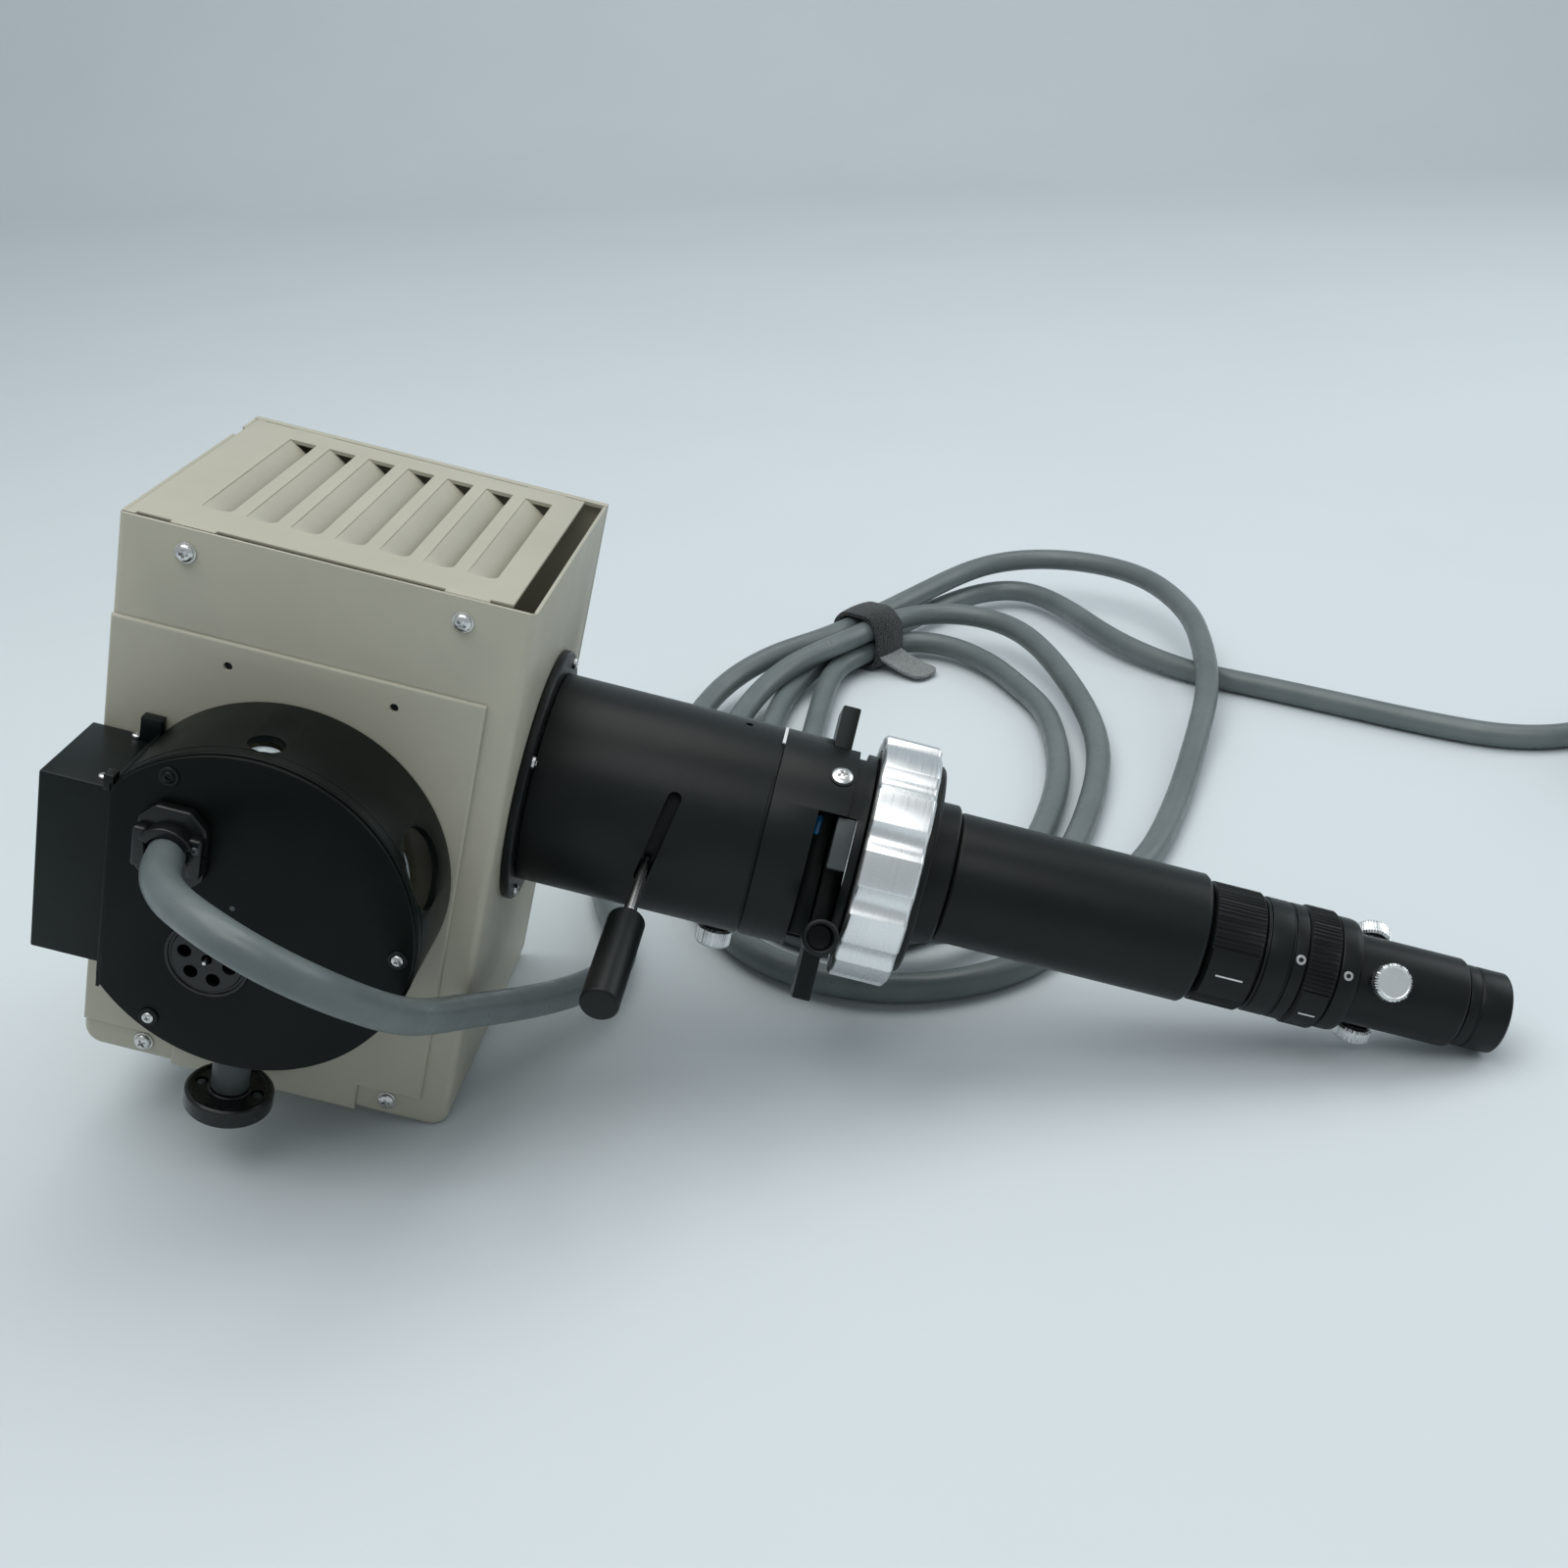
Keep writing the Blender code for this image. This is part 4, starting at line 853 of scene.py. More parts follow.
# ---------------------------------------------------------------- casing


def casing_outline(inset, top=BOX_TOP, bend=0.006):
    half, low = BOX_WIDTH / 2 - inset, BOX_BOTTOM + inset
    r = bend - inset
    outline = [(half, top), (-half, top)]
    outline += arc((-half + r, low + r), r, pi, 1.5 * pi, 8)
    outline += arc((half - r, low + r), r, 1.5 * pi, 2 * pi, 8)
    return outline


def make_casing():
    front, back = -BOX_DEPTH / 2, BOX_DEPTH / 2 - 0.0043
    made = prism_shape(casing_outline(0), front, back)

    def front_edge(edge):
        ends = [v.co for v in edge.verts]
        level = all(abs(c.y - front) < 1e-6 for c in ends)
        return level and not all(abs(c.z - BOX_TOP) < 1e-6 for c in ends)

    ease_edges(made, 0.0024, 4, radians(60), front_edge)
    shell = make_object("casing", made, BEIGE, HOUSE)
    inside = prism_shape(casing_outline(SHEET, BOX_TOP + 0.01), front + SHEET, back + 0.02)
    tools = [
        make_object("hollow", inside, BEIGE_INNER, HOUSE),
        rod("lamp_port", -0.07, -0.04, LAMP_PORT, BEIGE, backward(DRUM_X, DRUM_Z), 96),
        rod("tube_port", 0.05, 0.07, 0.030, BEIGE, HOUSE, 96),
        slab("side_notch", (-0.07, 0.031, BOX_TOP - 0.006), (-0.055, 0.040, 0.09), BEIGE, HOUSE, 0.0012),
    ]
    for index in range(7):
        x = -0.036 + 0.012 * index
        low, high = (x - 0.0025, -0.035, -0.12), (x + 0.0025, 0.035, -0.1)
        tools.append(slab("vent", low, high, BEIGE, HOUSE, 0.002, 3))
    carve(shell, *tools)
    stands(soften(shell), "casing_paint", "outer_shell")
    cover = prism_shape(casing_outline(0), back + 0.0003, BOX_DEPTH / 2)

    def rear_edge(edge):
        return all(abs(v.co.y - BOX_DEPTH / 2) < 1e-6 for v in edge.verts)

    ease_edges(cover, 0.0012, 3, radians(60), rear_edge)
    rear = make_object("rear_cover_skin", cover, BEIGE, HOUSE)
    tray = prism_shape(casing_outline(SHEET, BOX_TOP - SHEET), back - 0.01, BOX_DEPTH / 2 - SHEET)
    carve(rear, make_object("tray", tray, BEIGE, HOUSE))
    stands(rear, "casing_paint", "rear_cover")


LOUVRE_COUNT, LOUVRE_PITCH, LOUVRE_WIDTH = 7, 0.01313, 0.0088
LOUVRE_FRONT, LOUVRE_BACK, LOUVRE_DROP = -0.036, 0.0395, 0.0062


def louvre_window(index):
    """A slot with a rounded front corner on its low side."""
    x = LOUVRE_PITCH * (index - 3)
    left, right = x - LOUVRE_WIDTH / 2, x + LOUVRE_WIDTH / 2
    r = 0.0030
    outline = [(left, LOUVRE_BACK), (left, LOUVRE_FRONT + 0.0012)]
    outline += arc((left + 0.0012, LOUVRE_FRONT + 0.0012), 0.0012, pi, 1.5 * pi, 3)[1:]
    outline += arc((right - r, LOUVRE_FRONT + r), r, 1.5 * pi, 2 * pi, 8)
    outline += [(right, LOUVRE_BACK)]
    return outline


def louvre_slat(index, top):
    """The pressed slat: level with the plate on its left and at the front, and hanging free elsewhere."""
    x = LOUVRE_PITCH * (index - 3)
    edge = 0.0006  # how far the slat runs on under the plate
    left, width = x - LOUVRE_WIDTH / 2 - edge, LOUVRE_WIDTH + 0.0008
    front, length = LOUVRE_FRONT - edge, LOUVRE_BACK - LOUVRE_FRONT + edge
    across, along, thick = 12, 36, 0.001
    rows = []
    for j in range(along + 1):
        y = front + length * (j / along) ** 1.6
        form = max(min((y - front) / 0.0095, 1.0), 0.0) ** 0.55
        row = []
        for i in range(across + 1):
            s = i / across
            z = top - LOUVRE_DROP * form * (0.25 * s + 0.75 * s**1.35)
            row.append(((left + width * s, y, z), (left + width * s, y, z - thick)))
        rows.append(row)
    return make_object("slat", sheet_shape(rows), BEIGE, HOUSE, 40)


def make_louvres():
    top = BOX_TOP - 0.0001
    left, right = -BOX_WIDTH / 2 + 0.0011, 0.0525
    front, back = -BOX_DEPTH / 2 + SHEET + 0.0007, BOX_DEPTH / 2 - SHEET - 0.0008
    step = 0.0022
    near = [(left, front)]
    for x0, x1 in ((-0.056, -0.046), (-0.033, 0.033), (0.046, right)):
        near += [(x0, front), (x0, front + step), (x1, front + step), (x1, front)]
    near.pop()  # the last notch runs out at the right edge
    outline = near + [(x, front + back - y) for x, y in reversed(near)]
    plate = make_object("plate", prism_shape(outline, top - SHEET, top, "XY"), BEIGE, HOUSE)
    windows = [
        make_object("window", prism_shape(louvre_window(i), top - 0.01, top + 0.01, "XY"), BEIGE, HOUSE)
        for i in range(LOUVRE_COUNT)
    ]
    soften(plate)
    carve(plate, *windows)
    slats = [louvre_slat(i, top - 0.00005) for i in range(LOUVRE_COUNT)]
    low, high = (left, front + 0.004, top - 0.014), (left + SHEET, 0.0295, top - 0.0003)
    flange = slab("flange", low, high, BEIGE, HOUSE, 0.0003)
    stands(fuse("louvre_plate", plate, flange, *slats), "casing_paint", "louvre_top")


def make_front_plate():
    back = -BOX_DEPTH / 2 - 0.0003
    outline = [(0.0508, 0.046), (-0.0596, 0.046), (-0.0596, -0.0952), (-0.0305, -0.0952)]
    outline += [(-0.0305, -0.1048), (0.0303, -0.1048), (0.0303, -0.0952), (0.0508, -0.0952)]
    made = prism_shape(outline, back - SHEET, back)

    def face_edge(edge):
        return all(abs(v.co.y - back + SHEET) < 1e-6 for v in edge.verts)

    ease_edges(made, 0.0010, 4, radians(60), face_edge)
    plate = make_object("raised_plate", made, BEIGE, HOUSE)
    port = rod("port", -0.07, -0.04, LAMP_PORT, BEIGE, backward(DRUM_X, DRUM_Z), 96)
    hole = [(-0.058, 0), (-0.058, 0.0019), (-0.0563, 0.0013), (-0.050, 0.0013), (-0.050, 0)]
    frames = [backward(x, 0.0386) for x in (-0.0245, 0.0245)]
    carve(plate, port, *(lathe("hole", hole, BLACK, f, 20, False, 0.0) for f in frames))
    # Painted shade: a thin black disc behind each hole makes the hole look dark inside.
    painted_shade_discs = [rod("hole_painted_shade", -0.0553, -0.0551, 0.0016, BLACK, f, 20) for f in frames]
    stands(fuse("front_plate_skin", plate, *painted_shade_discs), "casing_paint", "front_plate")
    places = ((-0.040, 0.0693), (0.040, 0.0693), (-0.040, -0.0992), (0.040, -0.0988))
    for number, (x, z) in enumerate(places, 1):
        matrix = forward(x, -BOX_DEPTH / 2 - 0.0002, z) @ Matrix.Rotation(number * 1.1, 4, "X")
        screw = cross_head(0.0027, 0.0019, matrix)
        ring = lathe("washer", band(0.0, 0.0003, 0.0026, 0.0031), ZINC, matrix, 40, True, 0.0001)
        stands(fuse(f"casing_screw_{number}", screw, ring), "zinc_steel", f"front_screw_{number}")


# ---------------------------------------------------------------- lamp drum


def drum_outline(radius, chord, count=120):
    chord_angle = pi - atan2((radius**2 - chord**2) ** 0.5, -chord)
    return arc((DRUM_X, DRUM_Z), radius, -chord_angle, chord_angle, count)


def drum_block(name, low, high, grow=0.0, chord=0.0, ease=0.0, segments=3):
    """A block with the drum's outline, grown in radius and moved in at its flat side."""
    made = prism_shape(drum_outline(DRUM_RADIUS + grow, DRUM_CHORD + chord), low, high)
    if ease:
        ease_edges(made, ease, segments)
    return make_object(name, made, DRUM_BLACK, HOUSE)


def make_drum():
    front = DRUM_BACK - DRUM_DEPTH
    past = (front - 0.01, DRUM_BACK + 0.01)
    drum = drum_block("drum_wall", front, DRUM_BACK, ease=0.0005)
    side = (sin(radians(65)), 0, cos(radians(65)))
    upper_frame = HOUSE @ aim((DRUM_X - 0.001, -0.0835, DRUM_Z), (0, 0, 1))
    side_frame = HOUSE @ aim((DRUM_X, -0.0782, DRUM_Z), side)
    lower_frame = HOUSE @ aim((KNOB_X, KNOB_Y, DRUM_Z), (0, 0, -1))
    tools = [
        drum_block("hollow", *past, -0.0022, 0.002),
        rod("upper", 0.040, 0.060, 0.0052, DRUM_BLACK, upper_frame, 48),
        rod("side", 0.040, 0.060, 0.0122, DRUM_BLACK, side_frame, 64),
        rod("lower", 0.040, 0.060, 0.0065, DRUM_BLACK, lower_frame, 48),
    ]
    carve(drum, *tools)
    soften(drum)
    lips = []
    for low in (front + 0.0006, front + 0.0042):
        lip = drum_block("lip", low, low + 0.0005, 0.00018, -0.0001, 0.00016, 2)
        carve(lip, drum_block("inside", *past, -0.0010, 0.001))
        ports = ((upper_frame, 0.0053), (side_frame, 0.0123))
        carve(lip, *(rod("port", 0.040, 0.060, r, DRUM_BLACK, f, 48) for f, r in ports))
        lips.append(lip)
    stands(fuse("drum_skin", drum, *lips), "black_paint", "lamp_drum")
    discs = []
    for port, radius, depth in ((upper_frame, 0.0049, 0.0482), (side_frame, 0.0098, 0.0430)):
        edge, back = depth - 0.0006, depth - 0.002
        profile = [(depth, 0), (depth, radius * 0.55), (edge, radius * 0.62), (edge, radius)]
        profile += [(back, radius), (back, 0)]
        discs.append(lathe("disc", profile, PALE, port, 48, False, 0.0001))
    stands(fuse("port_discs", *discs), "grey_shaft")
    cover = drum_block("drum_face", DRUM_FACE, DRUM_FACE + 0.0015, -0.0004, 0.0, 0.0004)
    carve(
        cover,
        rod("insert", -0.1, -0.08, 0.0121, BLACK, backward(INSERT_X, INSERT_Z), 64),
        rod("gland", -0.1, -0.08, 0.0065, BLACK, backward(GLAND_X, GLAND_Z), 48),
    )
    dot = rod("dot", 0.0, 0.0002, 0.0008, GREY_METAL, forward(-0.0035, DRUM_FACE, -0.0155), 24)
    stands(fuse("drum_face_skin", cover, dot), "black_paint", "drum_cover")
    for number in range(3):
        angle = number * 2 * pi / 3
        x, z = DRUM_X + 0.0462 * cos(angle), DRUM_Z + 0.0462 * sin(angle)
        matrix = forward(x, DRUM_FACE - 0.0002, z) @ Matrix.Rotation(0.7 * number, 4, "X")
        seat = [(0.0004, 0.0019), (0.0004, 0.0028), (0.0, 0.0030), (0.0, 0.0019)]
        washer = lathe("seat", seat, BLACK, matrix, 40, True, 0.0001)
        finish = BLACK if number == 1 else ZINC
        screw = cross_head(0.0018, 0.0012, matrix, finish)
        stands(fuse(f"cover_screw_{number + 1}", screw, washer), "zinc_steel", f"drum_screw_{number + 1}")


def make_junction_box():
    """The folded cover beside the drum, its flange along the drum's flat side, and the tabs on it."""
    right = DRUM_X + DRUM_CHORD - 0.0003
    low, high = Vector((-0.0622, -0.0915, -0.0470)), Vector((right - 0.0012, -0.0573, 0.0110))
    cover = slab("cover", low, high, BLACK, HOUSE, 0.0006, 3)
    inner = slab("inner", low + Vector((SHEET,) * 3), high + Vector((0.01, -SHEET, -SHEET)), BLACK, HOUSE, 0)
    carve(cover, inner)
    pieces = [cover]
    edge = right - 0.0012
    for name, low, high, ease in (
        ("flange", (edge, -0.0937, -0.0500), (right, -0.0573, 0.0140), 0.0003),
        ("upper_tab", (right - 0.0065, -0.0612, 0.0110), (right, -0.0573, 0.0185), 0.0005),
        ("near_tab", (right - 0.0030, -0.0937, 0.0110), (right, -0.0890, 0.0160), 0.0005),
        ("lower_tab", (edge, -0.0937, -0.0540), (right, -0.0925, -0.0480), 0.0005),
    ):
        pieces.append(slab(name, low, high, BLACK, HOUSE, ease))
    for x, y, z in ((right - 0.0075, -0.0600, 0.0112), (right - 0.0055, -0.0870, 0.0112)):
        pieces.append(cross_head(0.0015, 0.0010, HOUSE @ aim((x, y, z), (0, 0, 1))))
    stands(fuse("ignition_cover", *pieces), "black_paint", "junction_box")


def make_terminal():
    matrix = forward(INSERT_X, DRUM_FACE, INSERT_Z)
    profile = [(0.0008, 0), (0.0008, 0.0104), (0.0003, 0.0107), (0.0003, 0.0114)]
    profile += [(0.0009, 0.0116), (0.0009, 0.0124), (0.0003, 0.0127), (0.0002, 0.0118)]
    profile += [(-0.006, 0.0118), (-0.006, 0)]
    insert = lathe("insert", profile, PHENOLIC, matrix, 72, False, 0.00012)
    tools = []
    for number in range(6):
        angle = radians(20) + number * pi / 3
        spot = matrix @ Matrix.Translation((0, 0.0068 * cos(angle), 0.0068 * sin(angle)))
        tools.append(rod("socket", -0.004, 0.002, 0.0021, BLACK, spot, 28))
    tools.append(rod("socket", -0.004, 0.002, 0.0016, BLACK, matrix, 24))
    carve(insert, *tools)
    pin = rod("pin", -0.004, 0.0032, 0.0006, ZINC, matrix, 16, 0.0003)
    stands(fuse("terminal_block", insert, pin), "black_phenolic", "terminal_insert")


def make_gland():
    """A two-part clamp: an eight-sided base and a saddle drawn down over the cord by a screw."""
    half, tall, nip = 0.0098, 0.0128, 0.0048
    outline = [(half, tall - nip), (half - nip, tall), (nip - half, tall), (-half, tall - nip)]
    outline += [(-half, nip - tall), (nip - half, -tall), (half - nip, -tall), (half, nip - tall)]
    outline = [(GLAND_X + u, GLAND_Z + v) for u, v in outline]
    made = prism_shape(outline, DRUM_FACE - 0.0042, DRUM_FACE - 0.0003)
    ease_edges(made, 0.0009, 3)
    base = make_object("base", made, PHENOLIC, HOUSE)
    matrix = forward(GLAND_X, DRUM_FACE, GLAND_Z)
    carve(base, rod("bore", -0.01, 0.02, CORD_DIAMETER / 2 + 0.0002, BLACK, matrix, 64))
    front = DRUM_FACE - 0.0086
    outer, inner = 0.0086, CORD_DIAMETER / 2 + 0.0003
    bridge = arc((GLAND_X, GLAND_Z), outer, radians(28), radians(152), 24)
    bridge += arc((GLAND_X, GLAND_Z), inner, radians(152), radians(28), 24)
    made = prism_shape(bridge, front, DRUM_FACE - 0.0035)
    ease_edges(made, 0.0011, 4)
    saddle = make_object("saddle", made, PHENOLIC, HOUSE)
    lugs = []
    for side in (-1, 1):
        low = (GLAND_X + side * 0.0078 - 0.0020, front + 0.0012, GLAND_Z - 0.0058)
        high = (GLAND_X + side * 0.0078 + 0.0020, DRUM_FACE - 0.0035, GLAND_Z + 0.0066)
        lugs.append(slab("lug", low, high, PHENOLIC, HOUSE, 0.0009, 3))
    matrix = forward(GLAND_X + 0.0080, front + 0.0014, GLAND_Z + 0.0036)
    screw = cross_head(0.0012, 0.0008, matrix, GREY_METAL)
    stands(fuse("gland_clamp", base, saddle, screw, *lugs), "black_phenolic", "cable_gland")


def make_knob():
    matrix = HOUSE @ aim((KNOB_X, KNOB_Y, KNOB_TOP), (0, 0, 1))
    profile = [(0.0, 0), (0.0, 0.0062), (-0.0006, 0.0066), (-0.0006, 0.0108), (0.0, 0.0114), (0.0, 0.0124)]
    profile += [(-0.0010, 0.0135), (-0.0060, 0.0135), (-0.0068, 0.0127), (-0.0068, 0)]
    knob = lathe("knob", profile, PHENOLIC, matrix, 96, False, 0.0004)
    holes, beads = [], []
    for side in (-1, 1):
        spot = matrix @ Matrix.Translation((0, 0, side * 0.0088))
        holes.append(rod("dimple", -0.002, 0.002, 0.0020, PHENOLIC, spot, 32))
        bead = [(x - 0.0024, r) for x, r in arc((0, 0), 0.0019, 0, pi / 2, 6)]
        bead += [(-0.003, 0.0019), (-0.003, 0)]
        beads.append(lathe("bead", bead, GREY_METAL, spot, 32, False, 0.0))
    carve(knob, *holes)
    stands(fuse("height_knob", knob, *beads), "black_phenolic", "centring_knob", body="lamp_knob")
    shaft = [(0.0333, 0), (0.0333, 0.0046), (0.0232, 0.0046), (0.0230, 0.0058)]
    shaft += [(0.0155, 0.0058), (0.0152, 0.0050), (0.0148, 0.0050), (0.0145, 0.0058)]
    shaft += [(0.0003, 0.0058), (0.0003, 0)]
    made = lathe("shaft", shaft, GREY_METAL, matrix, 64, False, 0.0003)
    ring = lathe("collar", band(0.0170, 0.0240, 0.0050, 0.0061), BLACK, matrix, 64, True, 0.0002)
    stands(fuse("height_shaft", made, ring), "grey_shaft", "knob_shaft", body="lamp_knob")


# ---------------------------------------------------------------- lamp and mirror


def make_lamp():
    """Inside the casing: the carriage, its arm, the lamp between its clamps, and the mirror."""
    body = "lamp_carrier"
    carriage = slab("carriage", (-0.028, -0.0640, -0.052), (0.026, -0.0590, 0.016), ANODISED, HOUSE, 0.0008)
    stands(carriage, "black_anodised", "lamp_carriage", body=body)
    arm = slab("arm", (-0.008, -0.0587, -0.0530), (0.008, 0.008, -0.0460), ANODISED, HOUSE, 0.0010)
    stands(arm, "black_anodised", "lamp_arm", body=body)
    upright = HOUSE @ aim((0, 0, 0), (0, 0, 1))
    lower = [(-0.0260, 0), (-0.0260, 0.0042), (-0.0300, 0.0044), (-0.0305, 0.0050)]
    lower += [(-0.0457, 0.0050), (-0.0457, 0)]
    cap = lathe("lower_clamp", lower, BRASS, upright, 64, False, 0.0003)
    stands(cap, "lamp_brass", "lamp_lower_cap", body=body)
    bulb = [(0.0257, 0), (0.0257, 0.0024), (0.0100, 0.0026)]
    bulb += [(z, r) for r, z in arc((0, 0), 0.0056, radians(62), radians(-62), 16)]
    bulb += [(-0.0100, 0.0026), (-0.0257, 0.0024), (-0.0257, 0)]
    stands(lathe("arc_bulb", bulb, CLEAR, upright, 64, False, 0.0006), "clear_glass", "lamp_bulb", body=body)
    fins = [(0.0475, 0), (0.0475, 0.0035)]
    for index in range(4):
        top = 0.0470 - 0.0026 * index
        fins += [(top, 0.0035), (top, 0.0095), (top - 0.0012, 0.0095), (top - 0.0012, 0.0035)]
    fins += [(0.0363, 0.0035), (0.0360, 0.0040), (0.0260, 0.0040), (0.0260, 0)]
    sink = lathe("upper_clamp", fins, SATIN, upright, 64, False, 0.0002)
    stands(sink, "satin_aluminium", "lamp_heat_sink", body=body)
    bracket = slab("bracket", (-0.0520, -0.024, -0.1034), (-0.0500, 0.024, 0.030), ZINC, HOUSE, 0.0004)
    carve(bracket, rod("hole", -0.06, -0.04, 0.008, ZINC, HOUSE, 48))
    stands(bracket, "zinc_steel", "mirror_bracket")
    face = arc((0, 0), 0.040, pi, radians(147), 16)
    back = [(-0.0380, 0.0218), (-0.0495, 0.0218), (-0.0495, 0)]
    stands(lathe("mirror", face + back, MIRROR, HOUSE, 96, False, 0.0), "mirror_coating", "reflector_mirror")


# ---------------------------------------------------------------- collector and filter section


def slot_middle(angle):
    """Where the helical lever slot's middle lies along the tube, at an angle."""
    return LEVER_X + LEVER_LEAD * (angle - LEVER_ANGLE)


def make_collector():
    profile = [(0.0629, 0.0296), (0.0629, 0.0407), (0.0623, 0.0413), (0.0603, 0.0413), (0.0603, 0.0296)]
    flange = lathe("flange", profile, ANODISED, HOUSE, 128, True, 0.0002)
    screws = []
    for degrees in (32, 122, 212, 302):
        spot = Vector((0.0629, 0, 0)) + radial(radians(degrees)) * 0.0380
        screws.append(cross_head(0.0019, 0.0013, HOUSE @ aim(spot, (1, 0, 0))))
    stands(fuse("flange_skin", flange, *screws), "black_anodised", "tube_flange")
    profile = band(0.0632, 0.1352, 0.0290, TUBE_RADIUS)
    tube = lathe("collector", profile, ANODISED, HOUSE, 160, True, 0.0003)
    slot = bmesh.new()
    first, last, count = LEVER_ANGLE - radians(6), LEVER_ANGLE + radians(41), 20
    rows = []
    for i in range(count + 1):
        angle = first + (last - first) * i / count
        out, middle = radial(angle), slot_middle(angle)
        corners = ((-SLOT_HALF, 0.025), (SLOT_HALF, 0.025), (SLOT_HALF, 0.040), (-SLOT_HALF, 0.040))
        rows.append([slot.verts.new(Vector((middle + x, 0, 0)) + out * r) for x, r in corners])
    for a, b in zip(rows, rows[1:]):
        for i in range(4):
            n = (i + 1) % 4
            slot.faces.new((a[i], a[n], b[n], b[i]))
    slot.faces.new(rows[0])
    slot.faces.new(rows[-1][::-1])
    ends = [
        rod("slot_end", 0.025, 0.040, SLOT_HALF, BLACK, outward(slot_middle(angle), angle), 32)
        for angle in (first, last)
    ]
    hole = rod("pin_hole", 0.030, 0.040, 0.0012, BLACK, HOUSE @ aim((0.1237, 0.003, 0), (0, 0, 1)), 24)
    carve(tube, make_object("slot", slot, BLACK, HOUSE), hole, *ends)
    index = lathe("index", band(0.1352, 0.1362, 0.0338, 0.0343), MARK_WHITE, HOUSE, 360, True, 0.0)
    keep_arc(index, radians(83), radians(114))
    backing = lathe("backing", band(0.1350, 0.1362, 0.0322, 0.0336), BLACK, HOUSE, 96, True, 0.0)
    stands(fuse("collector_skin", tube, index, backing), "black_anodised", "collector_tube")
    cell = band(0.0930, 0.1130, 0.0245, 0.0286)
    turned_part("cell", cell, "lens_cell", HOUSE, 96, True, 0.0004, "focus_lever")
    lens = arc((0.0662, 0), 0.0450, 0, radians(31.4), 12) + arc((0.1397, 0), 0.0450, radians(148.6), pi, 12)
    lens_part("lens", lens, "collector_lens", 96, "lens_carrier")
    lever = outward(LEVER_X, LEVER_ANGLE)
    pin = [(0.0600, 0), (0.0600, 0.0021), (0.0560, 0.0021), (0.0340, 0.0013), (0.0292, 0.0012), (0.0292, 0)]
    made = lathe("pin", pin, ZINC, lever, 48, False, 0.0003)
    stands(made, "zinc_steel", "lever_pin", body="focus_lever")
    grip = [(0.0990, 0), (0.0990, 0.0052), (0.0984, 0.0058), (0.0612, 0.0058), (0.0605, 0.0050), (0.0605, 0)]
    turned_part("grip", grip, "lever_handle", lever, 96, False, 0.0003, "focus_lever")
    matrix, base = outward(0.1285, radians(-78)), TUBE_RADIUS + 0.0012
    knurled_head("clamp_screw", base, 0.0059, 0.0062, matrix, "collector_clamp", "collector_clamp_screw")


def keep_arc(obj, first, last):
    """Keeps only the stretch of a turned piece between two angles round the tube."""
    made = bmesh.new()
    made.from_mesh(obj.data)
    back = HOUSE.inverted()
    out = []
    for face in made.faces:
        centre = back @ face.calc_center_median()
        angle = atan2(centre.z, -centre.y)
        if not first <= angle <= last:
            out.append(face)
    bmesh.ops.delete(made, geom=out, context="FACES")
    edges = [edge for edge in made.edges if edge.is_boundary]
    bmesh.ops.holes_fill(made, edges=edges, sides=0)
    bmesh.ops.recalc_face_normals(made, faces=made.faces)
    made.to_mesh(obj.data)
    made.free()


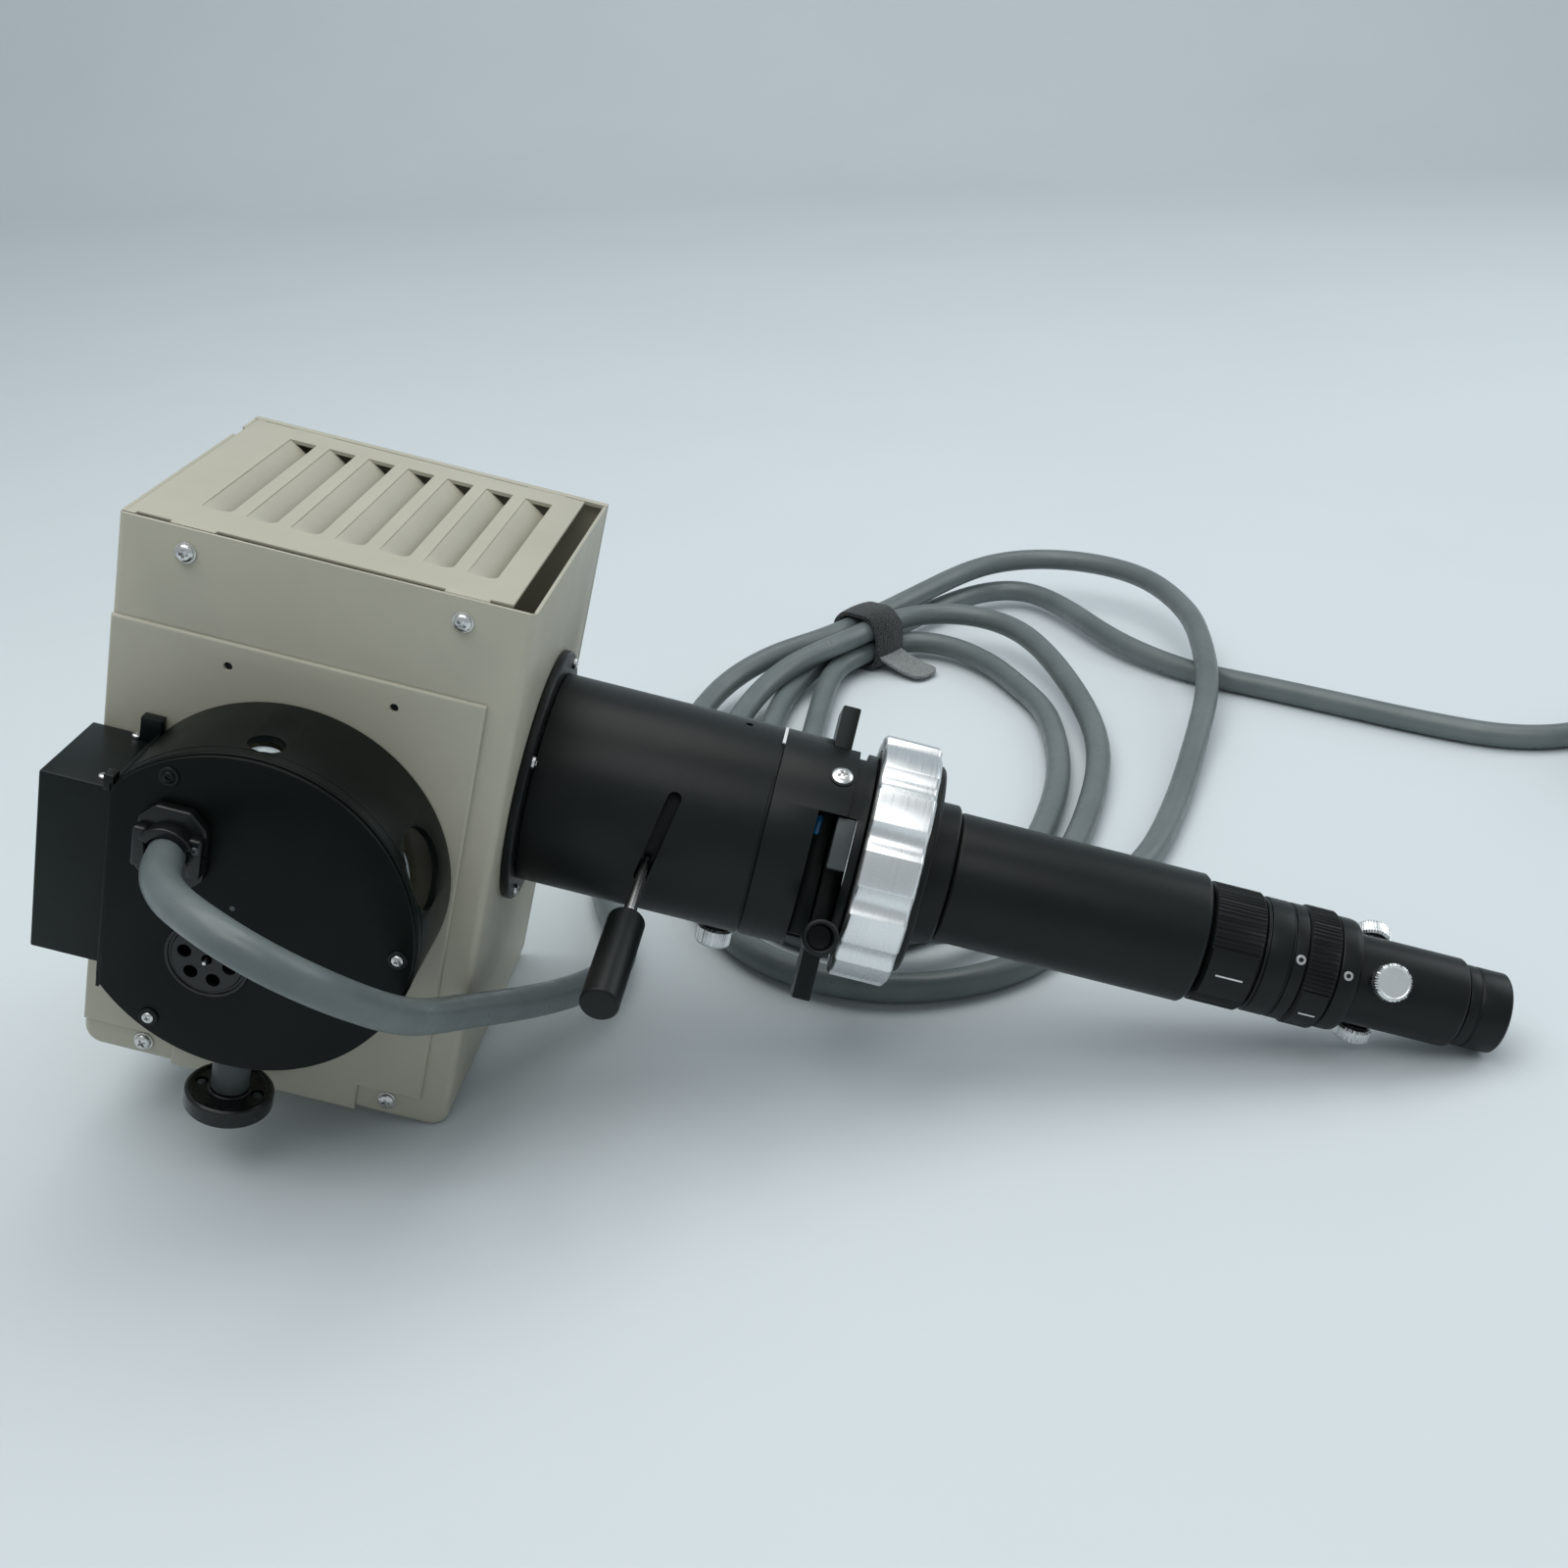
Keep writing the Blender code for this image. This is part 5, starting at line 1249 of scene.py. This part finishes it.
def make_filter_section():
    profile = [(0.1664, 0.0290), (0.1664, 0.0322), (0.1602, 0.0322), (0.1602, TUBE_RADIUS)]
    profile += [(0.1364, TUBE_RADIUS), (0.1357, 0.0336), (0.1357, 0.0290)]
    tube = lathe("tube", profile, ANODISED, HOUSE, 160, True, 0.0002)
    low_x, high_x, half, top = 0.1510, 0.1636, 0.0143, 0.0088
    tools = [
        slab("channel", (low_x, -half, -0.06), (high_x, half, 0.06), BLACK, ROLL, 0),
        slab("window", (low_x, -0.05, -0.06), (high_x, -0.010, top), BLACK, ROLL, 0),
    ]
    carve(tube, *tools)
    stands(soften(tube, 0.0002), "black_anodised", "filter_tube")
    a, b, thick, wide = 0.1513, 0.1575, 0.0058, 0.014
    upper = slab("upper", (a, -wide, -0.0300), (a + thick, wide, 0.0445), BLACK, ROLL, 0.0005)
    carve(upper, rod("aperture", 0.14, 0.17, 0.0118, BLACK, ROLL, 64))
    stands(upper, "black_paint", "upper_filter_slider", body="upper_slider")
    disc = rod("disc", 0.1532, 0.1552, 0.0115, BLUE, ROLL, 64, 0.0002)
    # Painted glint: a small block of the filter's own blue glass at the window's top-left corner stands in
    # for the glint on the filter's edge.
    rim = slab("rim", (0.1515, -0.0154, 0.0022), (0.1535, -0.0138, 0.0084), BLUE, ROLL, 0.0006, 3)
    stands(fuse("filter", disc, rim), "blue_glass", "blue_filter_glass", body="upper_slider")
    lower = slab("lower", (b, -wide, -0.0495), (b + thick, wide, 0.0270), BLACK, ROLL, 0.0005)
    carve(lower, rod("aperture", 0.14, 0.17, 0.0118, BLACK, ROLL, 64))
    pad_high = (b + thick, -wide + 0.001, top - 0.0004)
    pad = slab("pad", (b, -0.0312, -0.0078), pad_high, GREY_METAL, ROLL, 0.0005)
    stands(fuse("lower_slider_skin", lower, pad), "black_paint", "lower_filter_slider", body="lower_slider")
    knob = [(0.0190, 0), (0.0190, 0.0037), (0.0284, 0.0039), (0.0290, 0.0044), (0.0290, 0.0050)]
    knob += [(0.0284, 0.0056), (0.0180, 0.0056), (0.0165, 0.0046), (0.0165, 0.0026)]
    knob += [(0.0003, 0.0026), (0.0003, 0)]
    matrix = ROLL @ aim((b + thick / 2, -wide, -0.0290), (0, -1, 0))
    turned_part("knob", knob, "slider_knob", matrix, 64, False, 0.0003, "lower_slider")
    matrix = outward(0.1558, radians(68), TUBE_RADIUS - 0.0004)
    rim = [(0.0006, 0.0030), (0.0006, 0.0040), (0.0, 0.0042), (0.0, 0.0030)]
    dish = lathe("dish", rim, BLACK, matrix, 48, True, 0.0001)
    screw = cross_head(0.0034, 0.0014, matrix)
    stands(fuse("filter_screw", screw, dish), "zinc_steel", "filter_tube_screw")


RIDGES, LAND_ANGLE, SCOOP = 12, radians(22), 0.23


def make_clamp():
    def scallop(angle, along, radius):
        """Round lands, with a concave scoop between each two."""
        if radius < 0.0365:
            return radius
        turn = ((angle - LAND_ANGLE) * RIDGES / (2 * pi)) % 1 - 0.5
        return radius - (0.0021 * (1 - (turn / SCOOP) ** 2) if abs(turn) < SCOOP else 0.0)

    profile = [(0.1858, 0.0346), (0.1858, 0.0352), (0.1858, 0.0388), (0.1849, 0.0398), (0.1679, 0.0398)]
    profile += [(0.1670, 0.0388), (0.1670, 0.0346)]
    grip = lathe("clamp_grip_skin", profile, SATIN, HOUSE, 600, True, 0.0004, scallop)
    grip.data.set_sharp_from_angle(angle=radians(24))
    stands(grip, "satin_aluminium", "clamp_ring", body="clamp_grip")
    profile = [(0.1967, 0.0175), (0.1967, 0.0222), (0.1959, 0.0232), (0.1890, 0.0232), (0.1886, 0.0240)]
    profile += [(0.1886, 0.0334), (0.1878, 0.0342), (0.1670, 0.0342)]
    profile += [(0.1670, 0.0290), (0.1860, 0.0290), (0.1860, 0.0175)]
    turned_part("relay_flange_skin", profile, "relay_flange")


# ---------------------------------------------------------------- illuminator tube


def make_relay():
    profile = [(0.2987, 0.0135), (0.2987, 0.0154), (0.2802, 0.0154), (0.2802, 0.0195), (0.2798, 0.0206)]
    profile += [(0.2788, 0.0213), (0.1982, 0.0213), (0.1972, 0.0208), (0.1970, 0.0200), (0.1970, 0.0175)]
    profile += [(0.2770, 0.0175), (0.2770, 0.0135)]
    turned_part("relay_skin", profile, "relay_tube")
    lens = arc((0.2000, 0), 0.0350, 0, radians(29), 10) + arc((0.2610, 0), 0.0350, radians(151), pi, 10)
    lens_part("relay_glass", lens, "relay_lens")


RING_TEETH = 84


def control_ring(kind, low, high, outer, bore, mark_angle):
    """A diaphragm ring: fine straight knurling, with a smooth raised zone that carries an index line."""
    zone = radians(26)

    def knurl(angle, along, radius):
        if radius < outer - 0.0002:
            return radius
        away = abs((angle - mark_angle + pi) % (2 * pi) - pi)
        if away < zone:
            return radius + 0.00015
        return radius - (0.00045 if sin(RING_TEETH * angle) < 0 else 0.0)

    edge = 0.0010
    inner, shoulder = outer - edge, outer - edge * 0.3
    profile = [(high, bore), (high, inner), (high - edge * 0.6, shoulder), (high - edge, outer)]
    profile += [(low + edge, outer), (low + edge * 0.6, shoulder), (low, inner), (low, bore)]
    ring = lathe("ring", profile, KNURLED, HOUSE, 4 * RING_TEETH, True, 0.0, knurl)
    matrix = outward((low + high) / 2, mark_angle, outer + 0.00010)
    reach = (high - low) * 0.26
    line = slab("line", (0, -0.00025, -reach), (0.0002, 0.00025, reach), MARK_WHITE, matrix, 0)
    stands(fuse(f"{kind}_ring_skin", ring, line), "black_anodised", f"{kind}_ring", body=f"{kind}_control")


def make_iris(kind, low, bore, outer):
    blades = lathe(f"{kind}_blades", band(low, low + 0.0006, bore, outer), BLACK, HOUSE, 64, True, 0.0)
    stands(blades, "black_paint", f"{kind}_iris")


def make_diaphragms():
    control_ring("aperture", 0.2815, 0.2984, 0.0197, 0.0158, radians(-2))
    make_iris("aperture", 0.2870, 0.0050, 0.0131)
    profile = [(0.3230, 0.0125), (0.3230, 0.0150), (0.3123, 0.0150), (0.3123, 0.0188), (0.3121, 0.0190)]
    profile += [(0.3083, 0.0190), (0.3080, 0.0184), (0.3074, 0.0184), (0.3071, 0.0190), (0.3002, 0.0190)]
    profile += [(0.2999, 0.0184), (0.2990, 0.0184), (0.2990, 0.0125)]
    collar = lathe("collar", profile, ANODISED, HOUSE, 128, True, 0.00015)
    screw = socket_screw(0.0016, outward(0.3103, radians(32), 0.0189))
    stands(fuse("middle_collar_skin", collar, screw), "black_anodised", "middle_collar")
    control_ring("field", 0.3126, 0.3230, 0.0196, 0.0154, radians(-22))
    make_iris("field", 0.3170, 0.0045, 0.0121)


END_SCREW_ANGLES = (radians(32), radians(152), radians(272))


def make_end():
    profile = [(0.3305, 0.0125), (0.3305, 0.0172), (0.3297, 0.0182), (0.3282, 0.0185), (0.3238, 0.0185)]
    profile += [(0.3233, 0.0180), (0.3233, 0.0125)]
    collar = lathe("collar", profile, ANODISED, HOUSE, 128, True, 0.0003)
    screw = socket_screw(0.0015, outward(0.3262, radians(28), 0.0184))
    stands(fuse("end_collar_skin", collar, screw), "black_anodised", "end_collar")
    profile = [(0.3675, 0.0110), (0.3675, 0.0134), (0.3671, 0.0142), (0.3663, 0.0147), (0.3312, 0.0147)]
    profile += [(0.3308, 0.0143), (0.3308, 0.0110)]
    turned_part("end_body_skin", profile, "end_body", HOUSE, 112)
    for number, angle in enumerate(END_SCREW_ANGLES, 1):
        body, node = f"centring_{number}", f"centring_screw_{number}"
        matrix = outward(0.3400, angle)
        knurled_head(f"centring_head_{number}", 0.0159, 0.0061, 0.0050, matrix, body, node)
    profile = [(0.3820, 0.0090), (0.3820, 0.0124), (0.3812, 0.0133), (0.3722, 0.0133), (0.3719, 0.0129)]
    profile += [(0.3714, 0.0129), (0.3711, 0.0133), (0.3678, 0.0133), (0.3678, 0.0090)]
    turned_part("tip_skin", profile, "tip_sleeve", HOUSE, 112, True, 0.00025)
    lens = arc((0.3500, 0), 0.0250, 0, radians(20), 8) + [(0.3706, 0.0086), (0.3706, 0)]
    lens_part("tip_glass", lens, "tip_lens")


make_camera()
make_cord()
make_casing()
make_louvres()
make_front_plate()
make_drum()
make_junction_box()
make_terminal()
make_gland()
make_knob()
make_lamp()
make_collector()
make_filter_section()
make_clamp()
make_relay()
make_diaphragms()
make_end()
make_room()
